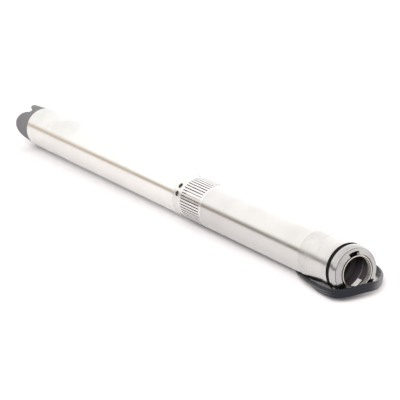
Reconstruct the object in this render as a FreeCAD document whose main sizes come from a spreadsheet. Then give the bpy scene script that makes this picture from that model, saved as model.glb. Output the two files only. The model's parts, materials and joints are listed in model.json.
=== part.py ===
# Solar submersible pump, three-inch class, lying on its side.
# A wet-rotor motor drives a stack of closed impellers through a screened suction neck.
# Millimetres. +X points out of the discharge mouth and +Z up. The origin lies on the floor
# under the middle of the pump.
import FreeCAD, Part
import math
import os

import Sketcher

doc = FreeCAD.newDocument("SolarSubmersiblePump")
Vector = FreeCAD.Vector

# %% Driving dimensions

SIZES = {
    # Long tubes and their joints, from the far rim to the mouth
    "tube_radius": 35.0,
    "tube_wall": 1.5,
    "motor_length": 521.0,
    "neck_length": 20.0,
    "neck_radius": 34.3,
    "strainer_length": 68.0,
    "sleeve_length": 275.0,
    "skirt_length": 62.0,
    "shoulder_length": 12.0,
    "ring_width": 8.0,
    "ring_sink": 0.2,
    "ring_edge": 0.8,
    "collar_width": 16.0,
    "lip_stand": 0.7,
    "rim_chamfer": 0.6,
    # Fits
    "push_gap": 0.1,
    "stack_gap": 0.3,
    "running_gap": 0.05,
    "rotor_gap": 0.5,
    "cut_margin": 1.0,
    # Grey end cap with three petals
    "crown_height": 52.0,
    "crown_straight": 3.0,
    "crown_floor": 10.0,
    "crown_radius": 34.0,
    "crown_tip_radius": 31.0,
    "crown_bore": 25.0,
    "crown_root_bore": 22.0,
    "cap_spigot": 23.0,
    "breather_radius": 3.0,
    "petal_count": 3,
    "petal_notch_angle": 61.0,
    "petal_notch_depth": 33.0,
    "petal_notch_root": 4.0,
    "petal_notch_mouth": 25.0,
    "petal_flank": 42.0,
    # Motor
    "motor_shaft_radius": 8.0,
    "diaphragm_length": 6.0,
    "diaphragm_sheet": 1.5,
    "diaphragm_cup": 20.0,
    "diaphragm_rim": 24.0,
    "lower_shield_gap": 6.0,
    "lower_shield_length": 46.0,
    "shield_hub_radius": 18.0,
    "shield_hub_wall": 4.0,
    "shield_plate": 5.0,
    "thrust_radius": 16.0,
    "thrust_pad_length": 6.0,
    "thrust_disc_length": 6.0,
    "bearing_length": 20.0,
    "bearing_wall": 5.0,
    "can_radius": 18.6,
    "can_wall": 0.4,
    "air_gap": 0.8,
    "magnet_thickness": 2.4,
    "winding_gap": 12.0,
    "winding_length": 20.0,
    "winding_wall": 9.0,
    "winding_clearance": 2.0,
    "upper_shield_length": 46.0,
    "seal_length": 8.0,
    "slinger_radius": 13.0,
    "slinger_length": 4.0,
    "slinger_taper": 3.0,
    # Suction neck and strainer
    "flange_plate": 6.0,
    "neck_wall": 3.3,
    "neck_hole_radius": 4.5,
    "neck_hole_station": 7.0,
    "neck_hole_angle": 30.0,
    "neck_hole_pairs": 4,
    "neck_hole_half_pitch": 11.5,
    "column_inner": 26.0,
    "column_outer": 30.0,
    "column_count": 4,
    "column_back_web": 4.0,
    "column_front_web": 2.0,
    "column_window_angle": 62.0,
    "column_window_angle_start": 75.0,
    "front_plate": 4.0,
    "strainer_wall": 0.8,
    "strainer_radius": 34.9,
    "slot_count": 46,
    "slot_width": 1.6,
    "slot_length": 56.4,
    "slot_start": 6.0,
    "bolt_circle": 20.5,
    "bolt_radius": 3.0,
    "bolt_length": 22.0,
    "bolt_head_radius": 5.2,
    "bolt_head_length": 4.0,
    "bolt_count": 4,
    "coupling_start": 8.0,
    "coupling_chamfer": 1.0,
    "coupling_radius": 11.0,
    "coupling_length": 42.0,
    "coupling_socket": 20.0,
    # Pump stages
    "pump_shaft_radius": 6.0,
    "stage_count": 6,
    "stack_end_gap": 24.0,
    "suction_bowl_length": 14.0,
    "suction_bore": 18.0,
    "bowl_flare": 6.0,
    "bowl_curve": 16.0,
    "chamber_wall": 1.8,
    "chamber_plate": 2.0,
    "wear_ring_radius": 16.2,
    "hub_radius": 8.5,
    "impeller_tip_gap": 2.9,
    "impeller_start": 1.0,
    "skirt_wall": 1.5,
    "shroud_start": 6.5,
    "shroud_thickness": 1.5,
    "passage_width": 7.0,
    "diffuser_start": 20.5,
    "vane_thickness": 2.2,
    "vane_count": 6,
    "vane_curve": 30.0,
    "impeller_vane_lean": 34.0,
    "return_vane_lean": 38.0,
    "vane_bite": 0.3,
    "shaft_end": 2.0,
    "shaft_chamfer": 1.0,
    "bush_wall": 3.0,
    "top_housing_length": 36.0,
    "top_housing_wall": 2.5,
    "top_hub_radius": 12.0,
    "top_hub_length": 24.0,
    "spider_start": 6.0,
    "spider_length": 8.0,
    "spider_root": 2.0,
    "spoke_count": 3,
    "spoke_angle": 60.0,
    "spoke_gap_angle": 96.0,
    # Discharge head
    "sleeve_lap": 37.0,
    "head_wall": 1.45,
    "skirt_chamfer": 0.4,
    "shoulder_rise": 1.0,
    "boss_start": 18.0,
    "thread_radius": 19.5,
    "thread_length": 18.0,
    "thread_chamfer": 1.2,
    "thread_runout": 2.0,
    "boss_radius": 27.5,
    "boss_flange": 4.0,
    "boss_foot": 3.0,
    "valve_bore": 25.5,
    "valve_chamber": 24.0,
    "seat_length": 4.0,
    "seat_bore": 17.0,
    "seat_flare": 2.0,
    "seat_curve": 6.0,
    "poppet_radius": 20.0,
    "poppet_root": 3.0,
    "poppet_root_width": 2.0,
    "poppet_rim": 3.0,
    "poppet_dome": 7.0,
    "poppet_nose": 6.0,
    "stem_radius": 3.0,
    "stem_length": 24.0,
    "guide_length": 5.0,
    "guide_gap": 6.0,
    "guide_wall": 3.0,
    "guide_spoke_angle": 90.0,
    "guide_hub": 7.0,
    "window_angle": -127.5,
    "window_span": 24.0,
    "window_length": 13.0,
    # Mouth: rubber ring, collar and lip
    "collar_radius": 37.6,
    "collar_wall": 2.0,
    "collar_band": 6.2,
    "collar_taper": 6.4,
    "collar_shoulder": 35.4,
    "collar_groove_width": 0.7,
    "collar_groove_depth": 0.8,
    "collar_ridge_step": 0.3,
    "spigot_length": 6.0,
    "lip_radius": 23.4,
    "lip_wall": 1.8,
    "lip_gap": 1.6,
    "lip_chamfer": 0.5,
    "lip_edge": 0.3,
    "lip_flange_thickness": 1.6,
    "notch_angle": 80.0,
    "notch_span": 33.0,
    "notch_depth": 4.6,
    # Cable guard under the tube, on the hidden side
    "guard_angle": -112.0,
    "guard_wall": 0.8,
    "guard_room": 0.9,
    "guard_side_room": 0.16,
    "guard_slope": 3.0,
    "guard_start": 4.0,
    "guard_end": 91.0,
    "guard_tab": 13.0,
    "guard_tab_thickness": 1.2,
    "guard_side_angle": 1.3,
    "plug_span": 24.0,
    "plug_root": 27.0,
    "plug_length": 10.0,
    "cable_width": 14.6,
    "cable_thickness": 5.6,
    "cable_gap": 0.3,
    "screw_head_radius": 3.5,
    "screw_head_length": 1.6,
    "screw_start": 1.0,
    # Free lead, its hank and its bare cores
    "lead_start": 8.0,
    "hank_station": -405.0,
    "hank_run": 220.0,
    "hank_middle": 76.0,
    "hank_turn": 35.0,
    "hank_pitch": 7.0,
    "hank_laps": 2,
    "tail_length": 40.0,
    "tie_length": 14.0,
    "tie_thickness": 1.0,
    "boot_length": 8.0,
    "core_length": 34.0,
    "core_radius": 1.6,
    "core_pitch": 4.6,
}

sheet = doc.addObject("Spreadsheet::Sheet", "Sizes")
for row, (name, value) in enumerate(SIZES.items(), start=1):
    sheet.set(f"A{row}", name)
    sheet.set(f"B{row}", str(value))
    sheet.setAlias(f"B{row}", name)
doc.recompute()


class Dim:
    """A size that carries its number and its spreadsheet expression together."""

    def __init__(self, value, text):
        self.value = float(value)
        self.text = text

    def __add__(self, other):
        other = as_dim(other)
        return Dim(self.value + other.value, f"({self.text} + {other.text})")

    def __sub__(self, other):
        other = as_dim(other)
        return Dim(self.value - other.value, f"({self.text} - {other.text})")

    def __mul__(self, other):
        other = as_dim(other)
        return Dim(self.value * other.value, f"({self.text} * {other.text})")

    def __truediv__(self, other):
        other = as_dim(other)
        return Dim(self.value / other.value, f"({self.text} / {other.text})")

    def __neg__(self):
        return Dim(-self.value, f"(0 - {self.text})")


def as_dim(number):
    """A plain number as a Dim, and a Dim as it is."""
    if isinstance(number, Dim):
        return number
    return Dim(number, f"({number})" if number < 0 else str(number))


def size(name):
    """One driving dimension."""
    return Dim(SIZES[name], f"Sizes.{name}")


def arcsine(ratio):
    """The angle in degrees whose sine is a ratio."""
    return Dim(math.degrees(math.asin(ratio.value)), f"asin({ratio.text}) / 1 deg")


def cosine(angle):
    """The cosine of an angle in degrees."""
    return Dim(math.cos(math.radians(angle.value)), f"cos({angle.text})")


def sine(angle):
    """The sine of an angle in degrees."""
    return Dim(math.sin(math.radians(angle.value)), f"sin({angle.text})")


# %% Stations along the axis, measured from the back face of the rubber ring

SHOULDER = -size("shoulder_length")
SKIRT = SHOULDER - size("skirt_length")
STRAINER_FRONT = SKIRT - size("sleeve_length")
NECK_FRONT = STRAINER_FRONT - size("strainer_length")
MOTOR_FRONT = NECK_FRONT - size("neck_length")
RIM = MOTOR_FRONT - size("motor_length")
TIP = RIM - size("crown_height")
COLLAR = size("ring_width")
COLLAR_FACE = COLLAR + size("collar_width")
MOUTH = COLLAR_FACE + size("lip_stand")
ZERO = Dim(0, "0")

TUBE_BORE = size("tube_radius") - size("tube_wall")
PLUG_RADIUS = TUBE_BORE - size("push_gap")
STACK_RADIUS = TUBE_BORE - size("stack_gap")

HEAD_BORE = size("tube_radius") + size("running_gap")
SHOULDER_BORE = HEAD_BORE + size("shoulder_rise")
SHOULDER_RADIUS = SHOULDER_BORE + size("head_wall")

# The guard takes its height and width from the flat cable. Its outer corner touches the floor,
# which sets the height of the pump's axis.
CABLE_SEAT = size("tube_radius") + size("cable_gap")
GUARD_RADIUS = CABLE_SEAT + size("cable_thickness") + size("guard_room") + size("guard_wall")
GUARD_INNER_HALF = arcsine((size("cable_width") / 2 + size("guard_side_room")) / CABLE_SEAT)
GUARD_HALF = GUARD_INNER_HALF + size("guard_side_angle")
AXIS_HEIGHT = -(GUARD_RADIUS * sine(size("guard_angle") + GUARD_HALF))
MIDDLE = (TIP + MOUTH) / 2


# %% Helpers for bodies, sketches and features

def origin_plane(body, role):
    """One of a body's own origin planes or axes."""
    return [item for item in body.Origin.OriginFeatures if item.Role == role][0]


def new_body(label, station=ZERO):
    """A body placed with its own origin on the pump's axis."""
    body = doc.addObject("PartDesign::Body", label)
    body.Label = label
    body.setExpression("Placement.Base.x", (station - MIDDLE).text)
    body.setExpression("Placement.Base.z", AXIS_HEIGHT.text)
    return body


def new_sketch(body, role="XZ_Plane", around=None, along=None):
    """A sketch on an origin plane, turned about the axis to face an angle or moved along the axis.

    The angle counts from the near side (-Y) over the top (+Z).
    """
    sketch = body.newObject("Sketcher::SketchObject", f"{body.Name}_sketch")
    sketch.AttachmentSupport = [(origin_plane(body, role), "")]
    sketch.MapMode = "FlatFace"
    if around is not None:
        sketch.AttachmentOffset = FreeCAD.Placement(Vector(), FreeCAD.Rotation(Vector(1, 0, 0), 1))
        sketch.setExpression("AttachmentOffset.Rotation.Angle", (as_dim(90) - around).text)
    if along is not None:
        sketch.setExpression("AttachmentOffset.Base.z", along.text)
    return sketch


def pin_point(sketch, edge, end, across, up):
    """Binds one end of an edge to its two sizes."""
    if across.text == "0":
        sketch.addConstraint(Sketcher.Constraint("PointOnObject", edge, end, -2))
    else:
        index = sketch.addConstraint(Sketcher.Constraint("DistanceX", -1, 1, edge, end, across.value))
        sketch.setExpression(f"Constraints[{index}]", across.text)
    if up.text == "0":
        sketch.addConstraint(Sketcher.Constraint("PointOnObject", edge, end, -1))
    else:
        index = sketch.addConstraint(Sketcher.Constraint("DistanceY", -1, 1, edge, end, up.value))
        sketch.setExpression(f"Constraints[{index}]", up.text)


def arc_between(start, end, radius, side):
    """The short arc from start to end, with its centre to the left (1) or right (-1)."""
    chord = end - start
    rise = math.sqrt(max(radius ** 2 - (chord.Length / 2) ** 2, 0))
    left = Vector(-chord.y, chord.x, 0).normalize()
    centre = (start + end) * 0.5 + left * rise * side
    first, last = (start, end) if side > 0 else (end, start)
    angles = [math.atan2(point.y - centre.y, point.x - centre.x) for point in (first, last)]
    return Part.ArcOfCircle(Part.Circle(centre, Vector(0, 0, 1), radius), *angles)


def closed_outline(sketch, corners):
    """A closed outline through bound corners; a corner may carry the arc that leaves it."""
    corners = [tuple(as_dim(item) if index < 2 else item for index, item in enumerate(corner))
               for corner in corners]
    ends = []
    for index, corner in enumerate(corners):
        follower = corners[(index + 1) % len(corners)]
        start = Vector(corner[0].value, corner[1].value, 0)
        end = Vector(follower[0].value, follower[1].value, 0)
        if len(corner) == 2:
            edge = sketch.addGeometry(Part.LineSegment(start, end), False)
            ends.append((edge, 1, 2))
        else:
            radius, side = corner[2]
            edge = sketch.addGeometry(arc_between(start, end, radius.value, side), False)
            ends.append((edge, 1, 2) if side > 0 else (edge, 2, 1))
    for index, (edge, start_end, last_end) in enumerate(ends):
        follower, follower_end, _ = ends[(index + 1) % len(ends)]
        sketch.addConstraint(Sketcher.Constraint("Coincident", edge, last_end, follower, follower_end))
    for corner, (edge, start_end, _) in zip(corners, ends):
        pin_point(sketch, edge, start_end, corner[0], corner[1])
        if len(corner) == 3:
            radius = corner[2][0]
            index = sketch.addConstraint(Sketcher.Constraint("Radius", edge, radius.value))
            sketch.setExpression(f"Constraints[{index}]", radius.text)


def add_circle(sketch, across, up, radius):
    """A circle whose centre and radius are bound."""
    across, up, radius = as_dim(across), as_dim(up), as_dim(radius)
    centre = Vector(across.value, up.value, 0)
    edge = sketch.addGeometry(Part.Circle(centre, Vector(0, 0, 1), radius.value), False)
    pin_point(sketch, edge, 3, across, up)
    index = sketch.addConstraint(Sketcher.Constraint("Radius", edge, radius.value))
    sketch.setExpression(f"Constraints[{index}]", radius.text)


def revolve(body, corners, kind="Revolution", around=None, span=None):
    """Turns an outline of (station, radius) corners about the axis, as material or as a groove."""
    sketch = new_sketch(body, "XZ_Plane", around)
    closed_outline(sketch, corners)
    feature = body.newObject(f"PartDesign::{kind}", f"{body.Name}_{kind.lower()}")
    feature.Profile = sketch
    feature.ReferenceAxis = (sketch, ["H_Axis"])
    if span is None:
        feature.Angle = 360
    else:
        feature.Midplane = True
        feature.setExpression("Angle", span.text)
    return feature


def turned(label, corners, station=ZERO):
    """A body made of one turned outline."""
    body = new_body(label, station)
    revolve(body, corners)
    return body


def extrude(body, sketch, kind, length=None, both_ways=False, outward=False):
    """A pad or pocket of a sketch, by a bound length or through everything."""
    feature = body.newObject(f"PartDesign::{kind}", f"{body.Name}_{kind.lower()}")
    feature.Profile = sketch
    feature.Midplane = both_ways
    feature.Reversed = outward
    if length is None:
        feature.Type = "ThroughAll"
    else:
        feature.setExpression("Length", length.text)
    return feature


def repeat(body, features, count, angle=None):
    """Repeats features evenly about the axis."""
    pattern = body.newObject("PartDesign::PolarPattern", f"{body.Name}_pattern")
    pattern.Originals = features
    pattern.Axis = (origin_plane(body, "X_Axis"), [""])
    pattern.Refine = False
    pattern.setExpression("Occurrences", count.text)
    if angle is None:
        pattern.Angle = 360
    else:
        pattern.setExpression("Angle", angle.text)
    body.Tip = pattern
    return pattern


def vane_ring(body, start, length, inner, outer, lean):
    """Curved vanes standing between two radii, all in one sketch across the axis."""
    sketch = new_sketch(body, "YZ_Plane", along=start)
    for vane in range(int(SIZES["vane_count"])):
        turn = as_dim(360) * vane / size("vane_count")
        corners = []
        for radius, shift, arc in ((inner, 0, -1), (outer, lean, 0), (outer, lean, 1), (inner, 0, 0)):
            thick = size("vane_thickness") / radius * (180 / math.pi)
            angle = turn + shift + (thick if len(corners) > 1 else 0)
            corner = (radius * cosine(angle), radius * sine(angle))
            if arc:
                corner += ((size("vane_curve"), arc),)
            corners.append(corner)
        closed_outline(sketch, corners)
    return extrude(body, sketch, "Pad", length)


# %% Motor

CAP_INNER = RIM + size("cap_spigot")
SHIELD_BACK = CAP_INNER + size("diaphragm_length") + size("lower_shield_gap")
SHIELD_FRONT = SHIELD_BACK + size("lower_shield_length")
THRUST_FACE = SHIELD_BACK + size("shield_plate") + size("thrust_pad_length")
UPPER_BACK = MOTOR_FRONT - size("upper_shield_length")
CAN_BORE = size("can_radius") - size("can_wall")
ROTOR_RADIUS = CAN_BORE - size("air_gap")
BEARING_RADIUS = size("motor_shaft_radius") + size("bearing_wall")
JOURNAL_BORE = size("motor_shaft_radius") + size("running_gap")
STATOR_BACK = SHIELD_FRONT + size("winding_gap") + size("winding_length")
STATOR_FRONT = UPPER_BACK - size("winding_gap") - size("winding_length")


def motor_end_cap():
    """Grey cap with a spigot in the tube and a crown of three petals round a recess."""
    body = new_body("motor_end_cap")
    floor = RIM - size("crown_floor")
    revolve(body, [
        (CAP_INNER, size("breather_radius")),
        (CAP_INNER, PLUG_RADIUS),
        (RIM, PLUG_RADIUS),
        (RIM, size("crown_radius")),
        (RIM - size("crown_straight"), size("crown_radius")),
        (TIP, size("crown_tip_radius")),
        (TIP, size("crown_bore")),
        (floor, size("crown_root_bore")),
        (floor, size("breather_radius")),
    ])
    sketch = new_sketch(body, "XY_Plane", around=size("petal_notch_angle"))
    root = TIP + size("petal_notch_depth")
    mouth = TIP - size("cut_margin")
    root_arc = (size("petal_notch_root"), 1)
    flank_arc = (size("petal_flank"), -1)
    closed_outline(sketch, [
        (mouth, -size("petal_notch_mouth"), flank_arc),
        (root - size("petal_notch_root"), -size("petal_notch_root"), root_arc),
        (root, 0, root_arc),
        (root - size("petal_notch_root"), size("petal_notch_root"), flank_arc),
        (mouth, size("petal_notch_mouth")),
    ])
    cut = extrude(body, sketch, "Pocket", outward=True)
    repeat(body, [cut], size("petal_count"))


def motor_tube_parts():
    """The motor's tube and what stands still inside it."""
    motor_end_cap()
    turned("pressure_diaphragm", [
        (CAP_INNER, 0),
        (CAP_INNER + size("diaphragm_sheet"), 0),
        (CAP_INNER + size("diaphragm_sheet"), size("diaphragm_cup")),
        (CAP_INNER + size("diaphragm_length"), size("diaphragm_rim")),
        (CAP_INNER + size("diaphragm_length"), STACK_RADIUS),
        (CAP_INNER, STACK_RADIUS),
    ])
    chamfer = size("rim_chamfer")
    turned("motor_shell", [
        (RIM, TUBE_BORE),
        (RIM, size("tube_radius") - chamfer),
        (RIM + chamfer, size("tube_radius")),
        (MOTOR_FRONT - chamfer, size("tube_radius")),
        (MOTOR_FRONT, size("tube_radius") - chamfer),
        (MOTOR_FRONT, TUBE_BORE),
    ])
    bearing_back = SHIELD_FRONT - size("bearing_length")
    turned("lower_end_shield", [
        (SHIELD_BACK, 0),
        (SHIELD_BACK + size("shield_plate"), 0),
        (SHIELD_BACK + size("shield_plate"), size("shield_hub_radius")),
        (bearing_back, size("shield_hub_radius")),
        (bearing_back, BEARING_RADIUS),
        (SHIELD_FRONT, BEARING_RADIUS),
        (SHIELD_FRONT, PLUG_RADIUS),
        (SHIELD_FRONT - size("shield_plate"), PLUG_RADIUS),
        (SHIELD_FRONT - size("shield_plate"), size("shield_hub_radius") + size("shield_hub_wall")),
        (SHIELD_BACK, size("shield_hub_radius") + size("shield_hub_wall")),
    ])
    turned("thrust_bearing", [
        (SHIELD_BACK + size("shield_plate"), 0),
        (THRUST_FACE, 0),
        (THRUST_FACE, size("thrust_radius")),
        (SHIELD_BACK + size("shield_plate"), size("thrust_radius")),
    ])
    turned("lower_radial_bearing", [
        (bearing_back, JOURNAL_BORE),
        (SHIELD_FRONT, JOURNAL_BORE),
        (SHIELD_FRONT, BEARING_RADIUS),
        (bearing_back, BEARING_RADIUS),
    ])
    turned("stator_core", [
        (STATOR_BACK, size("can_radius") + size("push_gap")),
        (STATOR_FRONT, size("can_radius") + size("push_gap")),
        (STATOR_FRONT, PLUG_RADIUS),
        (STATOR_BACK, PLUG_RADIUS),
    ])
    winding_inner = size("can_radius") + size("winding_clearance")
    for label, back in (("lower_end_winding", STATOR_BACK - size("winding_length")),
                        ("upper_end_winding", STATOR_FRONT)):
        front = back + size("winding_length")
        turned(label, [
            (back, winding_inner),
            (front, winding_inner),
            (front, winding_inner + size("winding_wall")),
            (back, winding_inner + size("winding_wall")),
        ])
    turned("stator_can", [
        (SHIELD_FRONT, CAN_BORE),
        (UPPER_BACK, CAN_BORE),
        (UPPER_BACK, size("can_radius")),
        (SHIELD_FRONT, size("can_radius")),
    ])


def upper_end_parts():
    """Upper end shield with its bearing and seal, tapped for the flange bolts."""
    bearing_front = UPPER_BACK + size("bearing_length")
    body = new_body("upper_end_shield")
    revolve(body, [
        (UPPER_BACK, BEARING_RADIUS),
        (MOTOR_FRONT, BEARING_RADIUS),
        (MOTOR_FRONT, PLUG_RADIUS),
        (UPPER_BACK, PLUG_RADIUS),
    ])
    sketch = new_sketch(body, "YZ_Plane", along=MOTOR_FRONT)
    add_circle(sketch, size("bolt_circle"), 0, size("bolt_radius") + size("push_gap"))
    hole = extrude(body, sketch, "Pocket", size("bolt_length") + size("cut_margin"))
    repeat(body, [hole], size("bolt_count"))
    turned("upper_radial_bearing", [
        (UPPER_BACK, JOURNAL_BORE),
        (bearing_front, JOURNAL_BORE),
        (bearing_front, BEARING_RADIUS),
        (UPPER_BACK, BEARING_RADIUS),
    ])
    seal_back = MOTOR_FRONT - size("seal_length")
    turned("shaft_seal", [
        (seal_back, JOURNAL_BORE),
        (MOTOR_FRONT, JOURNAL_BORE),
        (MOTOR_FRONT, BEARING_RADIUS),
        (seal_back, BEARING_RADIUS),
    ])


# %% Rotating parts of the motor

FLANGE_FRONT = MOTOR_FRONT + size("flange_plate")
COUPLING_BACK = FLANGE_FRONT + size("coupling_start")
COUPLING_FRONT = COUPLING_BACK + size("coupling_length")
SHAFT_MEET = COUPLING_BACK + size("coupling_socket")


def rotor_parts():
    """Motor shaft, magnet rotor, thrust disc, slinger and coupling."""
    shaft = size("motor_shaft_radius")
    disc_front = THRUST_FACE + size("thrust_disc_length")
    turned("motor_shaft", [
        (disc_front, 0),
        (SHAFT_MEET, 0),
        (SHAFT_MEET, shaft),
        (disc_front, shaft),
    ])
    turned("thrust_disc", [
        (THRUST_FACE, 0),
        (disc_front, 0),
        (disc_front, size("thrust_radius")),
        (THRUST_FACE, size("thrust_radius")),
    ])
    core = ROTOR_RADIUS - size("magnet_thickness")
    turned("rotor_core", [
        (STATOR_BACK, shaft),
        (STATOR_FRONT, shaft),
        (STATOR_FRONT, core),
        (STATOR_BACK, core),
    ])
    turned("rotor_magnets", [
        (STATOR_BACK, core),
        (STATOR_FRONT, core),
        (STATOR_FRONT, ROTOR_RADIUS),
        (STATOR_BACK, ROTOR_RADIUS),
    ])
    slinger = MOTOR_FRONT + size("rotor_gap")
    turned("sand_slinger", [
        (slinger, shaft),
        (slinger, size("slinger_radius")),
        (slinger + size("slinger_length"), size("slinger_radius") - size("slinger_taper")),
        (slinger + size("slinger_length"), shaft),
    ])
    chamfer = size("coupling_chamfer")
    turned("shaft_coupling", [
        (COUPLING_BACK, shaft),
        (SHAFT_MEET, shaft),
        (SHAFT_MEET, size("pump_shaft_radius")),
        (COUPLING_FRONT, size("pump_shaft_radius")),
        (COUPLING_FRONT, size("coupling_radius") - chamfer),
        (COUPLING_FRONT - chamfer, size("coupling_radius")),
        (COUPLING_BACK + chamfer, size("coupling_radius")),
        (COUPLING_BACK, size("coupling_radius") - chamfer),
    ])


# %% Suction neck, strainer and flange bolts

def suction_interconnector():
    """Bracket between motor and pump: flange, holed neck ring, four columns and a front plate."""
    body = new_body("suction_interconnector")
    margin = size("cut_margin")
    neck_inner = size("neck_radius") - size("neck_wall")
    plate_back = STRAINER_FRONT - size("front_plate")
    screen_seat = size("strainer_radius") - size("strainer_wall") - size("push_gap")
    shaft_way = size("slinger_radius") + size("rotor_gap") * 2
    revolve(body, [
        (MOTOR_FRONT, shaft_way),
        (MOTOR_FRONT, size("neck_radius")),
        (NECK_FRONT, size("neck_radius")),
        (NECK_FRONT, size("column_outer")),
        (plate_back, size("column_outer")),
        (plate_back, screen_seat),
        (STRAINER_FRONT, screen_seat),
        (STRAINER_FRONT, size("column_inner")),
        (FLANGE_FRONT, size("column_inner")),
        (FLANGE_FRONT, shaft_way),
    ])
    plug_way = size("plug_span") + margin
    inner_front = NECK_FRONT - size("column_front_web")
    revolve(body, [
        (FLANGE_FRONT, size("column_inner") - margin),
        (FLANGE_FRONT, neck_inner),
        (inner_front, neck_inner),
        (inner_front, size("column_inner") - margin),
    ], kind="Groove", around=size("guard_angle"), span=plug_way)
    revolve(body, [
        (FLANGE_FRONT, neck_inner - margin),
        (NECK_FRONT + margin, neck_inner - margin),
        (NECK_FRONT + margin, size("tube_radius") + margin),
        (FLANGE_FRONT, size("tube_radius") + margin),
    ], kind="Groove", around=size("guard_angle"), span=plug_way)
    window_back = NECK_FRONT + size("column_back_web")
    window_front = plate_back - size("column_front_web")
    window = revolve(body, [
        (window_back, size("column_inner") - margin),
        (window_front, size("column_inner") - margin),
        (window_front, size("column_outer") + margin),
        (window_back, size("column_outer") + margin),
    ], kind="Groove", around=size("column_window_angle_start"), span=size("column_window_angle"))
    repeat(body, [window], size("column_count"))
    holes = []
    for side in (-1, 1):
        sketch = new_sketch(body, "XY_Plane",
                            around=size("neck_hole_angle") + size("neck_hole_half_pitch") * side)
        add_circle(sketch, NECK_FRONT - size("neck_hole_station"), 0, size("neck_hole_radius"))
        holes.append(extrude(body, sketch, "Pocket", both_ways=True))
    repeat(body, holes, size("neck_hole_pairs") / 2, angle=as_dim(360) / size("neck_hole_pairs"))
    sketch = new_sketch(body, "YZ_Plane", along=FLANGE_FRONT + margin)
    add_circle(sketch, size("bolt_circle"), 0, size("bolt_radius") + size("push_gap"))
    hole = extrude(body, sketch, "Pocket", size("flange_plate") + margin * 2)
    repeat(body, [hole], size("bolt_count"))


def inlet_strainer():
    """Screen tube with long narrow slots all round."""
    body = new_body("inlet_strainer")
    revolve(body, [
        (NECK_FRONT, size("strainer_radius") - size("strainer_wall")),
        (STRAINER_FRONT, size("strainer_radius") - size("strainer_wall")),
        (STRAINER_FRONT, size("strainer_radius")),
        (NECK_FRONT, size("strainer_radius")),
    ])
    sketch = new_sketch(body, "XY_Plane")
    start = NECK_FRONT + size("slot_start")
    half = size("slot_width") / 2
    closed_outline(sketch, [
        (start, -half),
        (start + size("slot_length"), -half),
        (start + size("slot_length"), half),
        (start, half),
    ])
    slot = extrude(body, sketch, "Pocket", both_ways=True)
    pairs = size("slot_count") / 2
    repeat(body, [slot], pairs, angle=as_dim(180) - as_dim(180) / pairs)


def flange_bolts():
    """Bolts from the neck flange into the upper end shield."""
    for index in range(int(SIZES["bolt_count"])):
        body = new_body(f"flange_bolt_{index + 1}")
        angle = as_dim(360) * index / size("bolt_count")
        across = size("bolt_circle") * cosine(angle)
        up = size("bolt_circle") * sine(angle)
        sketch = new_sketch(body, "YZ_Plane", along=FLANGE_FRONT)
        add_circle(sketch, across, up, size("bolt_head_radius"))
        extrude(body, sketch, "Pad", size("bolt_head_length"))
        sketch = new_sketch(body, "YZ_Plane", along=FLANGE_FRONT)
        add_circle(sketch, across, up, size("bolt_radius"))
        extrude(body, sketch, "Pad", size("bolt_length"), outward=True)


# %% Pump stages

# The stack of stages fills the sleeve between the suction bowl and the check valve's guide.
SLEEVE_FRONT = SKIRT + size("sleeve_lap")
BOSS_FRONT = -size("boss_start")
THREAD_BACK = BOSS_FRONT - size("thread_length")
BOSS_BACK = THREAD_BACK - size("valve_chamber")
GUIDE_FRONT = BOSS_BACK - size("guide_gap")
GUIDE_BACK = GUIDE_FRONT - size("guide_length")
TOP_FRONT = GUIDE_BACK - size("stack_end_gap")
STAGES_FRONT = TOP_FRONT - size("top_housing_length")
STAGE_BACK = STRAINER_FRONT + size("suction_bowl_length")
STAGE_PITCH = (STAGES_FRONT - STAGE_BACK) / size("stage_count")
SHAFT_BORE = size("pump_shaft_radius")
CHAMBER_BORE = STACK_RADIUS - size("chamber_wall")


def stage_chamber(index):
    """Chamber of one stage: wall, wear ring plate, diffuser plate and return vanes."""
    body = new_body(f"stage_chamber_{index + 1}", STAGE_BACK + STAGE_PITCH * index)
    diffuser = size("diffuser_start")
    plate = size("chamber_plate")
    bore = size("hub_radius") + size("rotor_gap")
    revolve(body, [
        (ZERO, STACK_RADIUS),
        (STAGE_PITCH, STACK_RADIUS),
        (STAGE_PITCH, CHAMBER_BORE),
        (diffuser + plate, CHAMBER_BORE),
        (diffuser + plate, bore),
        (diffuser, bore),
        (diffuser, CHAMBER_BORE),
        (plate, CHAMBER_BORE),
        (plate, size("wear_ring_radius")),
        (ZERO, size("wear_ring_radius")),
    ])
    bite = size("vane_bite")
    vane_start = diffuser + plate - bite
    vane_ring(body, vane_start, STAGE_PITCH - vane_start - bite,
              bore + size("vane_thickness"), CHAMBER_BORE + bite, -size("return_vane_lean"))


def impeller(index):
    """Closed impeller: hub with back shroud, curved vanes, front shroud with its eye skirt."""
    body = new_body(f"impeller_{index + 1}", STAGE_BACK + STAGE_PITCH * index)
    start = size("impeller_start")
    passage = size("shroud_start") + size("shroud_thickness")
    back = passage + size("passage_width")
    radius = CHAMBER_BORE - size("impeller_tip_gap")
    eye = size("wear_ring_radius") - size("stack_gap")
    revolve(body, [
        (start, SHAFT_BORE),
        (start, size("hub_radius")),
        (back, size("hub_radius")),
        (back, radius),
        (back + size("shroud_thickness"), radius),
        (back + size("shroud_thickness"), size("hub_radius")),
        (start + STAGE_PITCH, size("hub_radius")),
        (start + STAGE_PITCH, SHAFT_BORE),
    ])
    bite = size("vane_bite")
    vane_ring(body, passage - bite, size("passage_width") + bite * 2,
              eye - bite, radius - bite * 2, size("impeller_vane_lean"))
    revolve(body, [
        (start, eye - size("skirt_wall")),
        (start, eye),
        (size("shroud_start"), eye),
        (size("shroud_start"), radius),
        (passage, radius),
        (passage, eye - size("skirt_wall")),
    ])


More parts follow.
